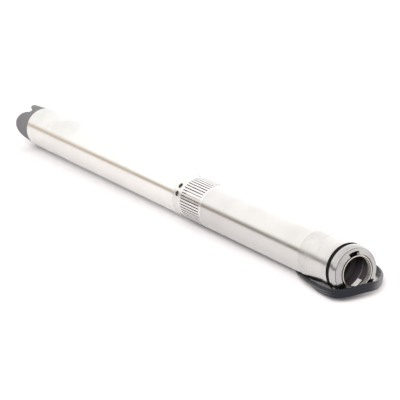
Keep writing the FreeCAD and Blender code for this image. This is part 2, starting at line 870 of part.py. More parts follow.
def pump_stage_parts():
    """Sleeve, suction bowl, chambers, impellers, shaft and the top bearing."""
    chamfer = size("rim_chamfer")
    turned("pump_sleeve", [
        (STRAINER_FRONT, TUBE_BORE),
        (STRAINER_FRONT, size("tube_radius") - chamfer),
        (STRAINER_FRONT + chamfer, size("tube_radius")),
        (SLEEVE_FRONT, size("tube_radius")),
        (SLEEVE_FRONT, TUBE_BORE),
    ])
    turned("suction_bowl", [
        (STRAINER_FRONT, size("suction_bore") + size("bowl_flare"), (size("bowl_curve"), -1)),
        (STAGE_BACK, size("suction_bore")),
        (STAGE_BACK, STACK_RADIUS),
        (STRAINER_FRONT, STACK_RADIUS),
    ])
    for index in range(int(SIZES["stage_count"])):
        stage_chamber(index)
        impeller(index)
    shaft_front = STAGES_FRONT + size("top_hub_length") + size("shaft_end")
    shaft_chamfer = size("shaft_chamfer")
    turned("pump_shaft", [
        (SHAFT_MEET, 0),
        (shaft_front, 0),
        (shaft_front, size("pump_shaft_radius") - shaft_chamfer),
        (shaft_front - shaft_chamfer, size("pump_shaft_radius")),
        (SHAFT_MEET, size("pump_shaft_radius")),
    ])
    bush_radius = size("pump_shaft_radius") + size("bush_wall")
    hub_back = STAGES_FRONT + size("impeller_start") + size("rotor_gap")
    turned("top_bearing_bush", [
        (hub_back, size("pump_shaft_radius") + size("running_gap")),
        (hub_back + size("top_hub_length"), size("pump_shaft_radius") + size("running_gap")),
        (hub_back + size("top_hub_length"), bush_radius),
        (hub_back, bush_radius),
    ])
    body = new_body("top_bearing_housing")
    wall = STACK_RADIUS - size("top_housing_wall")
    spider = hub_back + size("spider_start")
    spider_front = spider + size("spider_length")
    margin = size("cut_margin")
    revolve(body, [
        (hub_back, bush_radius),
        (hub_back + size("top_hub_length"), bush_radius),
        (hub_back + size("top_hub_length"), size("top_hub_radius")),
        (spider_front, size("top_hub_radius")),
        (spider_front, wall),
        (TOP_FRONT, wall),
        (TOP_FRONT, STACK_RADIUS),
        (STAGES_FRONT, STACK_RADIUS),
        (STAGES_FRONT, wall),
        (spider, wall),
        (spider, size("top_hub_radius")),
        (hub_back, size("top_hub_radius")),
    ])
    opening = revolve(body, [
        (spider - margin, size("top_hub_radius") + size("spider_root")),
        (spider_front + margin, size("top_hub_radius") + size("spider_root")),
        (spider_front + margin, wall - size("spider_root")),
        (spider - margin, wall - size("spider_root")),
    ], kind="Groove", around=size("spoke_angle"), span=size("spoke_gap_angle"))
    repeat(body, [opening], size("spoke_count"))


# %% Discharge head and check valve

SEAT_FACE = BOSS_BACK + size("seat_length")


def discharge_head():
    """Pressed shell that laps over the sleeve, with a rope window underneath."""
    body = new_body("discharge_head")
    wall = size("head_wall")
    rise = size("shoulder_rise")
    revolve(body, [
        (SKIRT, HEAD_BORE),
        (SKIRT, HEAD_BORE + wall - size("skirt_chamfer")),
        (SKIRT + size("skirt_chamfer"), HEAD_BORE + wall),
        (SHOULDER, HEAD_BORE + wall),
        (SHOULDER + rise, SHOULDER_RADIUS),
        (ZERO, SHOULDER_RADIUS),
        (ZERO, SHOULDER_BORE),
        (SHOULDER + rise, SHOULDER_BORE),
        (SHOULDER, HEAD_BORE),
    ])
    revolve(body, [
        (-size("window_length"), HEAD_BORE - size("cut_margin")),
        (size("cut_margin"), HEAD_BORE - size("cut_margin")),
        (size("cut_margin"), SHOULDER_RADIUS + size("cut_margin")),
        (-size("window_length"), SHOULDER_RADIUS + size("cut_margin")),
    ], kind="Groove", around=size("window_angle"), span=size("window_span"))


def outlet_boss():
    """Threaded outlet that also holds the valve chamber, flanged onto the sleeve's end."""
    flange_front = SLEEVE_FRONT + size("boss_flange")
    outer = size("boss_radius")
    turned("outlet_boss", [
        (BOSS_FRONT, size("thread_radius") + size("thread_chamfer")),
        (BOSS_FRONT, outer),
        (flange_front + size("boss_foot"), outer),
        (flange_front, HEAD_BORE - size("push_gap")),
        (SLEEVE_FRONT, HEAD_BORE - size("push_gap")),
        (SLEEVE_FRONT, outer),
        (BOSS_BACK, outer),
        (BOSS_BACK, size("valve_bore")),
        (THREAD_BACK - size("thread_runout"), size("valve_bore")),
        (THREAD_BACK, size("thread_radius")),
        (BOSS_FRONT - size("thread_chamfer"), size("thread_radius")),
    ])


def check_valve():
    """Seat, spider guide and the poppet, which closes by its weight and the water above it."""
    turned("valve_seat", [
        (BOSS_BACK, size("seat_bore") + size("seat_flare"), (size("seat_curve"), -1)),
        (SEAT_FACE, size("seat_bore")),
        (SEAT_FACE, size("valve_bore") - size("push_gap")),
        (BOSS_BACK, size("valve_bore") - size("push_gap")),
    ])
    stem_bore = size("stem_radius") + size("running_gap") * 2
    guide_inner = size("boss_radius") - size("guide_wall")
    margin = size("cut_margin")
    body = new_body("valve_guide")
    revolve(body, [
        (GUIDE_BACK, stem_bore),
        (GUIDE_BACK, size("boss_radius")),
        (BOSS_BACK, size("boss_radius")),
        (BOSS_BACK, guide_inner),
        (GUIDE_FRONT, guide_inner),
        (GUIDE_FRONT, stem_bore),
    ])
    opening = revolve(body, [
        (GUIDE_BACK - margin, size("guide_hub")),
        (GUIDE_FRONT + margin, size("guide_hub")),
        (GUIDE_FRONT + margin, guide_inner - margin),
        (GUIDE_BACK - margin, guide_inner - margin),
    ], kind="Groove", around=size("guide_spoke_angle"), span=size("spoke_gap_angle"))
    repeat(body, [opening], size("spoke_count"))
    rim_front = SEAT_FACE + size("poppet_rim")
    nose = rim_front + size("poppet_dome")
    root = size("poppet_root")
    root_width = size("poppet_root_width")
    turned("valve_poppet", [
        (SEAT_FACE - size("stem_length"), 0),
        (nose, 0),
        (nose, size("poppet_nose")),
        (rim_front, size("poppet_radius")),
        (SEAT_FACE, size("poppet_radius")),
        (SEAT_FACE, size("seat_bore") - root_width),
        (SEAT_FACE - root, size("stem_radius") + root_width),
        (SEAT_FACE - root * 2, size("stem_radius")),
        (SEAT_FACE - size("stem_length"), size("stem_radius")),
    ])


# %% Mouth: rubber ring, collar and lip

def mouth_parts():
    """Rubber ring, collar with its rope notch and the lip ring inside the mouth."""
    spigot = SHOULDER_BORE - size("push_gap")
    spigot_back = -size("spigot_length")
    edge = size("ring_edge")
    margin = size("cut_margin")
    ring_radius = SHOULDER_RADIUS - size("ring_sink")
    turned("rubber_ring", [
        (ZERO, spigot),
        (ZERO, ring_radius - edge),
        (edge, ring_radius),
        (COLLAR - edge, ring_radius),
        (COLLAR, ring_radius - edge),
        (COLLAR, spigot),
    ])
    lip_outer = size("lip_radius") + size("lip_wall")
    collar_mouth = lip_outer + size("lip_gap")
    notch_radius = collar_mouth + size("notch_depth")
    wall = size("collar_wall")
    band = COLLAR + size("collar_band")
    groove = band + size("collar_taper")
    ridge = groove + size("collar_groove_width")
    corner = ridge - wall
    body = new_body("discharge_collar")
    revolve(body, [
        (spigot_back, spigot - wall),
        (spigot_back, spigot),
        (COLLAR, spigot),
        (COLLAR, size("collar_radius")),
        (band, size("collar_radius")),
        (groove, size("collar_shoulder")),
        (groove, size("collar_shoulder") - size("collar_groove_depth")),
        (ridge, size("collar_shoulder") - size("collar_groove_depth")),
        (ridge, size("collar_shoulder") - size("collar_ridge_step")),
        (COLLAR_FACE, collar_mouth),
        (COLLAR_FACE - wall, collar_mouth),
        (corner, spigot - wall),
    ])
    revolve(body, [
        (corner - margin, collar_mouth - margin),
        (COLLAR_FACE + margin, collar_mouth - margin),
        (COLLAR_FACE + margin, notch_radius),
        (corner - margin, notch_radius),
    ], kind="Groove", around=size("notch_angle"), span=size("notch_span"))
    revolve(body, [
        (spigot_back - margin, spigot - wall - margin),
        (ZERO, spigot - wall - margin),
        (ZERO, spigot + margin),
        (spigot_back - margin, spigot + margin),
    ], kind="Groove", around=size("window_angle"), span=size("window_span"))
    flange_back = corner - size("lip_flange_thickness")
    flange = spigot - wall - size("push_gap")
    body = new_body("mouth_ring")
    revolve(body, [
        (flange_back, size("lip_radius")),
        (MOUTH - size("lip_chamfer"), size("lip_radius")),
        (MOUTH, size("lip_radius") + size("lip_chamfer")),
        (MOUTH, lip_outer - size("lip_edge")),
        (MOUTH - size("lip_edge"), lip_outer),
        (corner, lip_outer),
        (corner, flange),
        (flange_back, flange),
    ])
    revolve(body, [
        (flange_back - margin, lip_outer),
        (corner + margin, lip_outer),
        (corner + margin, notch_radius),
        (flange_back - margin, notch_radius),
    ], kind="Groove", around=size("notch_angle"), span=size("notch_span"))


# %% Cable guard, plug and the cable that it holds

GUARD_BACK = MOTOR_FRONT - size("guard_start")
GUARD_FRONT = SKIRT - size("guard_end")
PLUG_FRONT = FLANGE_FRONT + size("plug_length")


def cable_guard_parts():
    """Channel over the flat cable, its screws, the moulded plug and the held cable."""
    body = new_body("cable_guard")
    seat = size("tube_radius") + size("running_gap")
    tab = seat + size("guard_tab_thickness")
    around = size("guard_angle")
    revolve(body, [
        (GUARD_BACK - size("guard_tab"), seat),
        (GUARD_FRONT, seat),
        (GUARD_FRONT, GUARD_RADIUS),
        (GUARD_BACK, GUARD_RADIUS),
        (GUARD_BACK - size("guard_slope"), tab),
        (GUARD_BACK - size("guard_tab"), tab),
    ], around=around, span=GUARD_HALF * 2)
    wall = size("guard_wall")
    margin = size("cut_margin")
    revolve(body, [
        (GUARD_BACK + wall, seat - margin),
        (GUARD_FRONT + margin, seat - margin),
        (GUARD_FRONT + margin, GUARD_RADIUS - wall),
        (GUARD_BACK + wall, GUARD_RADIUS - wall),
    ], kind="Groove", around=around, span=GUARD_INNER_HALF * 2)
    for index, side in enumerate((-1, 1)):
        body = new_body(f"guard_screw_{index + 1}")
        sketch = new_sketch(body, "XY_Plane", around=around + GUARD_HALF / 2 * side)
        station = GUARD_BACK - size("guard_tab") / 2 - size("screw_start")
        add_circle(sketch, station, 0, size("screw_head_radius"))
        extrude(body, sketch, "Pad", tab + size("screw_head_length"))
        revolve(body, [
            (GUARD_BACK - size("guard_tab") * 2, ZERO),
            (GUARD_BACK, ZERO),
            (GUARD_BACK, tab),
            (GUARD_BACK - size("guard_tab") * 2, tab),
        ], kind="Groove")
    body = new_body("cable_plug")
    revolve(body, [
        (FLANGE_FRONT, size("plug_root")),
        (PLUG_FRONT, size("plug_root")),
        (PLUG_FRONT, CABLE_SEAT + size("cable_thickness")),
        (FLANGE_FRONT, CABLE_SEAT + size("cable_thickness")),
    ], around=around, span=size("plug_span"))
    body = new_body("guard_cable")
    sketch = new_sketch(body, "XZ_Plane", around=around)
    closed_outline(sketch, [
        (PLUG_FRONT, CABLE_SEAT),
        (GUARD_FRONT, CABLE_SEAT),
        (GUARD_FRONT, CABLE_SEAT + size("cable_thickness")),
        (PLUG_FRONT, CABLE_SEAT + size("cable_thickness")),
    ])
    extrude(body, sketch, "Pad", size("cable_width"), both_ways=True)


# %% Free motor lead

# The lead's way over the floor as (station, across, height) points: out of the guard, under the
# sleeve, up against the near side, round the mouth and away behind the pump to its hank.
LEAD_ROUTE = [
    (-148, 9.5, 4.6),
    (-128, 0.5, 3.1),
    (-106, -10.5, 3.4),
    (-82, -20.0, 6.0),
    (-57, -26.5, 8.8),
    (-33, -29.5, 10.6),
    (-10, -31.0, 12.0),
    (15.0, -32.8, 13.2),
    (25.8, -26.4, 15.0),
    (31.5, -15.2, 16.6),
    (32.3, -2.8, 17.2),
    (29.7, 10.0, 16.8),
    (26, 22.5, 15.2),
    (17, 36.5, 13.2),
    (4, 51.0, 11.2),
    (-12, 65.5, 9.6),
    (-29.5, 81.0, 8.6),
    (-51, 96.5, 8.2),
    (-77, 109.0, 8.2),
    (-108, 116.0, 8.4),
    (-141, 117.0, 8.5),
    (-175, 113.5, 8.5),
]
CABLE_CENTRE = CABLE_SEAT + size("cable_thickness") / 2
LEAD_RADIUS = size("cable_thickness") / 2


def rounded_wire(points):
    """Straight runs joined by tangent arcs, each as large as its two runs allow."""
    edges = []
    radii = []
    start = points[0]
    for before, corner, after in zip(points, points[1:], points[2:]):
        going_in = (corner - before).normalize()
        going_out = (after - corner).normalize()
        shorter = min((corner - before).Length, (after - corner).Length)
        setback = 0.45 * shorter
        half_turn = going_in.getAngle(going_out) / 2
        radius = setback / math.tan(half_turn)
        inward = (going_out - going_in).normalize()
        arc_start = corner - going_in * setback
        arc_end = corner + going_out * setback
        arc_middle = corner + inward * (radius / math.cos(half_turn) - radius)
        edges.append(Part.LineSegment(start, arc_start).toShape())
        edges.append(Part.Arc(arc_start, arc_middle, arc_end).toShape())
        radii.append(radius)
        start = arc_end
    edges.append(Part.LineSegment(start, points[-1]).toShape())
    return Part.Wire(edges), radii


def motor_lead():
    """The free cable as a plain tube, as thick as the cable is."""
    centre = CABLE_CENTRE.value
    angle = math.radians(SIZES["guard_angle"])
    guard_exit = Vector(GUARD_FRONT.value, -centre * math.cos(angle),
                        AXIS_HEIGHT.value + centre * math.sin(angle))
    points = [guard_exit, guard_exit + Vector(SIZES["lead_start"], 0, 0)]
    points += [Vector(*point) for point in LEAD_ROUTE]
    wire, radii = rounded_wire(points)
    circle = Part.Circle(points[0], (points[1] - points[0]).normalize(), LEAD_RADIUS.value)
    tube = wire.makePipeShell([Part.Wire(circle.toShape())], True, False)
    section = math.pi * LEAD_RADIUS.value ** 2
    if abs(tube.Volume / (section * wire.Length) - 1) > 0.01:
        raise RuntimeError("the lead's tube does not follow its route")
    print("lead radii", [round(radius) for radius in radii], f"length {wire.Length:.0f}")
    lead = doc.addObject("Part::Feature", "motor_lead")
    lead.Label = "motor_lead"
    lead.Shape = tube
    lead.Placement.Base = Vector(-MIDDLE.value, 0, 0)
    return lead


def racetrack(turn):
    """Corners of a closed oval of the hank, with its ends' radius."""
    back = size("hank_station")
    front = back + size("hank_run")
    middle = size("hank_middle")
    round_end = (turn, 1)
    return [
        (back, middle - turn),
        (front, middle - turn, round_end),
        (front + turn, middle, round_end),
        (front, middle + turn),
        (back, middle + turn, round_end),
        (back - turn, middle, round_end),
    ]


def lead_hank():
    """Put-away length: an oval ring of cable on edge, its tail, its tie and the bare cores."""
    half = size("cable_thickness") / 2
    outer = size("hank_turn") + half
    inner = size("hank_turn") - size("hank_pitch") * (size("hank_laps") - 1) - half
    lift = size("tie_thickness") + size("push_gap")
    body = new_body("lead_hank")
    body.setExpression("Placement.Base.z", lift.text)
    sketch = new_sketch(body, "XY_Plane")
    closed_outline(sketch, racetrack(outer))
    closed_outline(sketch, racetrack(inner))
    extrude(body, sketch, "Pad", size("cable_width"))
    tail_front = size("hank_station") + size("hank_run")
    tail_back = tail_front - size("tail_length")
    tail_top = size("hank_middle") + inner
    sketch = new_sketch(body, "XY_Plane")
    closed_outline(sketch, [
        (tail_back, tail_top - size("hank_pitch")),
        (tail_front, tail_top - size("hank_pitch")),
        (tail_front, tail_top + size("cut_margin")),
        (tail_back, tail_top + size("cut_margin")),
    ])
    extrude(body, sketch, "Pad", size("cable_width"))

    body = new_body("core_ends")
    body.setExpression("Placement.Base.z", lift.text)
    tail_middle = tail_top - size("hank_pitch") / 2
    boot_back = tail_back - size("boot_length")
    sketch = new_sketch(body, "XY_Plane")
    closed_outline(sketch, [
        (boot_back, tail_middle - half),
        (tail_back, tail_middle - half),
        (tail_back, tail_middle + half),
        (boot_back, tail_middle + half),
    ])
    extrude(body, sketch, "Pad", size("cable_width"))
    sketch = new_sketch(body, "YZ_Plane", along=boot_back - size("core_length"))
    for side in (-1, 0, 1):
        height = size("cable_width") / 2 + size("core_pitch") * side
        add_circle(sketch, tail_middle, height, size("core_radius"))
    extrude(body, sketch, "Pad", size("core_length") + size("cut_margin"))

    body = new_body("hank_tie")
    body.setExpression("Placement.Base.z", "0")
    gap = size("push_gap")
    thick = size("tie_thickness")
    near = size("hank_middle") - outer - gap
    far = size("hank_middle") - inner + gap
    low = thick
    high = thick + gap * 2 + size("cable_width")
    tie_back = size("hank_station") + (size("hank_run") - size("tie_length")) / 2
    sketch = new_sketch(body, "YZ_Plane", along=tie_back)
    closed_outline(sketch, [(near, low), (far, low), (far, high), (near, high)])
    closed_outline(sketch, [
        (near - thick, ZERO),
        (far + thick, ZERO),
        (far + thick, high + thick),
        (near - thick, high + thick),
    ])
    extrude(body, sketch, "Pad", size("tie_length"))


# %% Build, check and write

motor_tube_parts()
upper_end_parts()
rotor_parts()
suction_interconnector()
inlet_strainer()
flange_bolts()
pump_stage_parts()
discharge_head()
outlet_boss()
check_valve()
mouth_parts()
cable_guard_parts()
lead_hank()
motor_lead()
doc.recompute()

sub_parts = [item for item in doc.Objects if item.TypeId in ("PartDesign::Body", "Part::Feature")]
faults = []
for item in doc.Objects:
    if "Invalid" in item.State or "Error" in item.State:
        faults.append(f"{item.Name}: {item.State}")
for item in sub_parts:
    if item.Shape.isNull() or not item.Shape.isValid() or not item.Shape.Solids:
        faults.append(f"{item.Label}: shape")
for item in doc.Objects:
    if item.TypeId in ("PartDesign::Pocket", "PartDesign::Groove"):
        base = item.BaseFeature
        if base is not None and item.Shape.Volume > base.Shape.Volume - 0.01:
            faults.append(f"{item.Name}: cuts nothing")
if faults:
    raise RuntimeError("\n".join(faults))

os.makedirs("parts", exist_ok=True)
for item in sub_parts:
    item.Shape.exportStep(f"parts/{item.Label}.step")
    box = item.Shape.BoundBox
    print(f"{item.Label}: {len(item.Shape.Solids)} solid, {item.Shape.Volume:.0f} mm3, "
          f"x {box.XMin:.1f} to {box.XMax:.1f}, z {box.ZMin:.1f} to {box.ZMax:.1f}")
print(len(sub_parts), "sub-parts")
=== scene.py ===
# %% [markdown]
# # Dressing a borehole pump
# A slim steel pump lies on its side on a white table: a long motor tube with a grey petalled
# cap at the far end, a slotted suction neck, a pump sleeve and a discharge head at the near end.
# A flat rubber lead comes out from under it. The imported model gives every rigid piece its shape
# and place, so this lesson is about the camera, the light, the finishes and the lead.

import json
import math

import bmesh
import bpy
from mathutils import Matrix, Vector


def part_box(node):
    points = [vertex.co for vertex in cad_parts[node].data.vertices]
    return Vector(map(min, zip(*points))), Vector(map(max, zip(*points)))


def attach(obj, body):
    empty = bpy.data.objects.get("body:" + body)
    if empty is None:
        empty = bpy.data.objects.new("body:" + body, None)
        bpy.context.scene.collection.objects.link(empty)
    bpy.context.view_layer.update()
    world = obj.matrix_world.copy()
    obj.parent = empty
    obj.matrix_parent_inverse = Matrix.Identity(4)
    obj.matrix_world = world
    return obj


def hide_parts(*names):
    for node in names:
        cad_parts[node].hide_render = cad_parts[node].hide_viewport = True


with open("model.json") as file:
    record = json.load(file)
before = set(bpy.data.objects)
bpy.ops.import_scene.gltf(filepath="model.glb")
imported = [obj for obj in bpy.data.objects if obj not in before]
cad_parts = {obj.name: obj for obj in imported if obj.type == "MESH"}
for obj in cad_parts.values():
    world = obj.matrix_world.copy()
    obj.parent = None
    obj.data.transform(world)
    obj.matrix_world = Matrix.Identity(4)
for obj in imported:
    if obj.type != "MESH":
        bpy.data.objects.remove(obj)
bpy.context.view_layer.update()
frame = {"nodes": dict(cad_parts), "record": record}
scene = bpy.context.scene

# %% [markdown]
# Stations are distances along the axis from the back face of the black ring, as a pump maker's
# drawing would give them, and they grow towards the mouth. Two anchors turn them into the model's
# own places: the ring's lowest x, and the axis, which runs through the middle of the motor tube.
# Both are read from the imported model, so the script holds no copy of its measures.

# %% Stations along the pump
MM = 0.001
RING_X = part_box("rubber_ring")[0][0]
tube_low, tube_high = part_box("motor_shell")
AXIS_Z = (tube_low[2] + tube_high[2]) / 2
TUBE_RADIUS = (tube_high[2] - tube_low[2]) / 2


def at(station, across, height):
    """A place from a station, a distance across and a height over the floor, in millimetres."""
    return Vector((RING_X + station * MM, across * MM, height * MM))


print("ring at", round(RING_X, 4), "axis height", round(AXIS_Z, 4), "tube radius", round(TUBE_RADIUS, 4))

# %% [markdown]
# A long lens from two and a half metres keeps the tube's perspective as gentle as in a product
# photograph. The camera looks along the pump from the mouth's side and a little down. Its turn is
# written as a yaw and a pitch, because those two are easy to adjust one at a time.

# %% Camera
LENS = 180.0
SENSOR_WIDTH = 36.0
CAMERA_FROM_RING = Vector((2.2091, -1.5659, 0.8811))
YAW = math.radians(149.1)
PITCH = math.radians(-16.13)

camera = bpy.data.objects.new("camera", bpy.data.cameras.new("camera"))
scene.collection.objects.link(camera)
camera.data.lens = LENS
camera.data.sensor_width = SENSOR_WIDTH
camera.data.clip_end = 50.0
camera.location = Vector((RING_X, 0, AXIS_Z)) + CAMERA_FROM_RING
look = Vector((math.cos(PITCH) * math.cos(YAW), math.cos(PITCH) * math.sin(YAW), math.sin(PITCH)))
camera.rotation_euler = look.to_track_quat("-Z", "Y").to_euler()
scene.camera = camera
print("camera", [round(value, 3) for value in camera.location])

# %% [markdown]
# The motor lead is a flat rubber cable with three cores side by side, 14.6 by 5.6 mm. It leaves
# its guard lying flat under the sleeve, tips up against the near side, rounds the mouth on its
# edge and runs away behind the pump. No arc describes such a way, so its corners are listed one
# by one, as (station, across, height), and stand closest where the lead turns most.

# %% The lead's way from the guard
CABLE_WIDTH = 14.6
CABLE_THICKNESS = 5.6
GUARD_FRONT = -165.0
GUARD_LEAN = -22.0
GUARD_SEAT_RADIUS = 35.3

seat_radius = GUARD_SEAT_RADIUS + CABLE_THICKNESS / 2
seat_angle = math.radians(GUARD_LEAN - 90)
exit_across = -seat_radius * math.cos(seat_angle)
exit_height = AXIS_Z / MM + seat_radius * math.sin(seat_angle)
FREE_WAY = [
    (GUARD_FRONT, exit_across, exit_height),
    (GUARD_FRONT + 8, exit_across, exit_height),
    (-146, 11.0, 4.2),
    (-126, 4.0, 3.1),
    (-104, -6.4, 4.0),
    (-80, -18.1, 6.6),
    (-56, -25.7, 8.4),
    (-32, -31.2, 10.0),
    (-8, -34.6, 11.6),
    (14, -36.0, 13.6),
    (28.4, -30.4, 16.4),
    (33.4, -17.4, 18.6),
    (34.2, -3.8, 20.0),
    (33.2, 10.0, 20.2),
    (29.4, 23.5, 18.8),
    (20, 37.5, 16.2),
    (7, 51.0, 13.4),
    (-7, 64.5, 11.4),
    (-22, 76.0, 9.8),
    (-42, 86.5, 9.0),
    (-68, 94.0, 8.6),
    (-100, 101.0, 8.4),
    (-137, 107.5, 8.4),
    (-175, 110.5, 8.4),
]
print("free way", len(FREE_WAY), "corners, out of the guard at", round(exit_across, 1), round(exit_height, 1))

# %% [markdown]
# The rest of the lead is put away behind the pump, folded on edge into two laps as the lead of a
# new motor is. Laps are regular, so their corners come from a loop. A half turn's corners stand a
# little outside its circle, because the smooth line cuts corners and then just touches the circle.

# %% The laps behind the pump
HANK_BACK = -405.0
HANK_FRONT = -185.0
HANK_MIDDLE = 76.0
HANK_HEIGHT = 8.4
LAP_HALF_WIDTHS = (35.0, 28.0, 21.7)
TAIL_CORNERS = (14, 40)
TURN_CORNERS = 6
SIDE_STEPS = 5


def half_turn(centre_station, centre_across, radius, first_angle):
    """Corners round a half circle whose sides touch it, turning left as seen from above."""
    step = math.radians(180 / TURN_CORNERS)
    reach = radius / math.cos(step / 2)
    corners = []
    for index in range(TURN_CORNERS):
        angle = first_angle + step * (index + 0.5)
        corners.append((centre_station + reach * math.cos(angle),
                        centre_across + reach * math.sin(angle), HANK_HEIGHT))
    return corners


def straight(first, last, across):
    """Corners along one side of the laps."""
    return [(first + (last - first) * index / SIDE_STEPS, across, HANK_HEIGHT)
            for index in range(1, SIDE_STEPS)]


def laps():
    """Two laps of the put-away length, each inside the last, and the tail that ends them."""
    way = []
    for half, next_half in zip(LAP_HALF_WIDTHS, LAP_HALF_WIDTHS[1:]):
        far, near, next_far = HANK_MIDDLE + half, HANK_MIDDLE - half, HANK_MIDDLE + next_half
        way += straight(HANK_FRONT, HANK_BACK, far)
        way += half_turn(HANK_BACK, (far + near) / 2, (far - near) / 2, math.radians(90))
        way += straight(HANK_BACK, HANK_FRONT, near)
        way += half_turn(HANK_FRONT, (next_far + near) / 2, (next_far - near) / 2, math.radians(-90))
    way += [(HANK_FRONT - back, next_far, HANK_HEIGHT) for back in TAIL_CORNERS]
    return way


print("laps", len(laps()), "corners")

# %% [markdown]
# A spline of low order follows its corners closely and never overshoots, which suits a stiff flat
# lead. Blender turns the curve into a mesh of short edges, and only the places of its points are
# kept: they are the line that the lead's rings are set on, and they measure its length.

# %% A smooth line through the corners
curve = bpy.data.curves.new("cable_line", "CURVE")
curve.dimensions = "3D"
curve.resolution_u = 7
corners = FREE_WAY + laps()
spline = curve.splines.new("NURBS")
spline.points.add(len(corners) - 1)
for point, corner in zip(spline.points, corners):
    point.co = (*at(*corner), 1.0)
spline.order_u = 3
spline.use_endpoint_u = True
holder = bpy.data.objects.new("cable_line", curve)
line_mesh = bpy.data.meshes.new_from_object(holder)
cable_line = [vertex.co.copy() for vertex in line_mesh.vertices]
bpy.data.objects.remove(holder)
bpy.data.curves.remove(curve)
bpy.data.meshes.remove(line_mesh)
cable_length = sum((b - a).length for a, b in zip(cable_line, cable_line[1:]))
print("cable line", len(cable_line), "points,", round(cable_length, 3), "m")

# %% [markdown]
# The lead's section shows its three cores as ribs with shallow valleys between them, so it is
# built from three circles and a thin web. Where the lead goes it also twists: a table of lean
# angles says how far its wide side is tipped up from the floor at each distance from the guard.

# %% Section and lean
LEAN = [(0.0, GUARD_LEAN), (0.03, -8), (0.06, 2), (0.10, 36), (0.15, 60), (0.20, 74), (0.225, 77),
        (0.25, 78), (0.30, 80), (0.34, 84), (0.38, 90), (9.0, 90)]
SECTION_SIDES = 36
WEB_SHARE = 0.34


def free_lean(distance):
    """The tip of the lead's wide side at a distance from its exit, in radians."""
    for (start, first), (end, last) in zip(LEAN, LEAN[1:]):
        if distance <= end:
            share = (distance - start) / (end - start)
            share = share * share * (3 - 2 * share)
            return math.radians(first + (last - first) * share)
    return math.radians(LEAN[-1][1])


def cable_section():
    """Three round cores side by side under one skin, as (along the width, across) points."""
    core = CABLE_THICKNESS / 2
    offset = CABLE_WIDTH / 2 - core
    points = []
    for index in range(SECTION_SIDES):
        angle = 2 * math.pi * index / SECTION_SIDES
        along = math.cos(angle) * CABLE_WIDTH / 2
        tall = core * WEB_SHARE if abs(along) < offset else 0.0
        for centre in (-offset, 0, offset):
            tall = max(tall, math.sqrt(max(core ** 2 - (along - centre) ** 2, 0)))
        points.append((along * MM, math.copysign(tall, math.sin(angle)) * MM))
    return points


print("section", len(cable_section()), "points, lean at 0.2 m", round(math.degrees(free_lean(0.2))))

# %% [markdown]
# Everything that this lesson models itself is a skin over rings of points: the lead, its cores,
# the strap and the lands in the lip. So one helper bridges rings with faces, and one makes the
# finished object. A long piece gets a cap at both ends, and a turned ring runs back to its start.

# %% Rings of points into a piece


def heading(line, index):
    """The direction in which a line of places runs at one of them."""
    return (line[min(index + 1, len(line) - 1)] - line[max(index - 1, 0)]).normalized()


def skin(builder, rings, closed=False):
    """Faces between rings of points, with two end caps or a last run back to the first ring."""
    followers = rings[1:] + rings[:1] if closed else rings[1:]
    for first, second in zip(rings, followers):
        for index in range(len(first)):
            follower = (index + 1) % len(first)
            builder.faces.new((first[index], first[follower], second[follower], second[index]))
    if not closed:
        builder.faces.new(list(reversed(rings[0])))
        builder.faces.new(rings[-1])


def finished_piece(name, builder, flat_ends=False):
    """A smooth object from a mesh builder, with or without flat end caps, put in the scene."""
    bmesh.ops.recalc_face_normals(builder, faces=builder.faces)
    for face in builder.faces:
        face.smooth = len(face.verts) == 4 or not flat_ends
    mesh = bpy.data.meshes.new(name)
    builder.to_mesh(mesh)
    builder.free()
    piece = bpy.data.objects.new(name, mesh)
    scene.collection.objects.link(piece)
    return piece


print("mesh helpers ready")

# %% [markdown]
# A flat lead can't be a plain bevelled curve, because a bevel doesn't twist where it is told to.
# So the three-core section is set at each point of the line and tipped by the lean table. It
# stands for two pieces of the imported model, the free lead and the folded rest.

# %% The flat lead


def flat_cable(name, line, lean_at):
    """A ribbon of rings along a line, tipped up by a function of the distance."""
    builder = bmesh.new()
    section = cable_section()
    distance = 0.0
    rings = []
    for index, place in enumerate(line):
        if index:
            distance += (place - line[index - 1]).length
        going = heading(line, index)
        side = going.cross(Vector((0, 0, 1))).normalized()
        lean = lean_at(distance)
        wide = side * math.cos(lean) + side.cross(going) * math.sin(lean)
        thick = going.cross(wide)
        rings.append([builder.verts.new(place + wide * a + thick * b) for a, b in section])
    skin(builder, rings)
    return finished_piece(name, builder)


cable = flat_cable("flat_cable", cable_line, free_lean)
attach(cable, "pump_body")
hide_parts("motor_lead", "lead_hank")
print("cable", len(cable.data.vertices), "vertices")

# %% [markdown]
# Between its plug and the guard's open end the same lead lies flat against the tube. It is one
# straight ribbon with the same section, tipped as the lead is at its exit, so that its wide side
# follows the tube and the two parts meet without a step.

# %% The lead inside the guard
HELD_STEPS = 8
held_low, held_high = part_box("guard_cable")
held_line = []
for index in range(HELD_STEPS + 1):
    share = index / HELD_STEPS
    held_line.append(Vector((held_low[0] + (held_high[0] - held_low[0]) * share,
                             exit_across * MM, exit_height * MM)))
held_cable = flat_cable("held_cable", held_line, lambda distance: math.radians(GUARD_LEAN))
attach(held_cable, "pump_body")
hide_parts("guard_cable")
print("held cable from", round(held_low[0], 3), "to", round(held_high[0], 3))

# %% [markdown]
# The lead ends bare, as the maker ships it: three insulated cores, each with a short copper tip
# for the controller's terminals. A core is a slim tube of rings whose radius may change along the
# way, so one tube helper makes the sheath with its rounded cut end as well as the wires below.

# %% Three bare cores
CORE_RADIUS = 2.3
COPPER_RADIUS = 1.15
CORE_PITCH = 4.5
CORE_SIDES = 20
TIP_LENGTH = 0.012
core_low, core_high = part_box("core_ends")
core_back, core_front = core_low[0], core_high[0]
core_across = (core_low[1] + core_high[1]) / 2
core_heights = [(core_low[2] + core_high[2]) / 2 + offset * MM for offset in (-CORE_PITCH, 0.0, CORE_PITCH)]


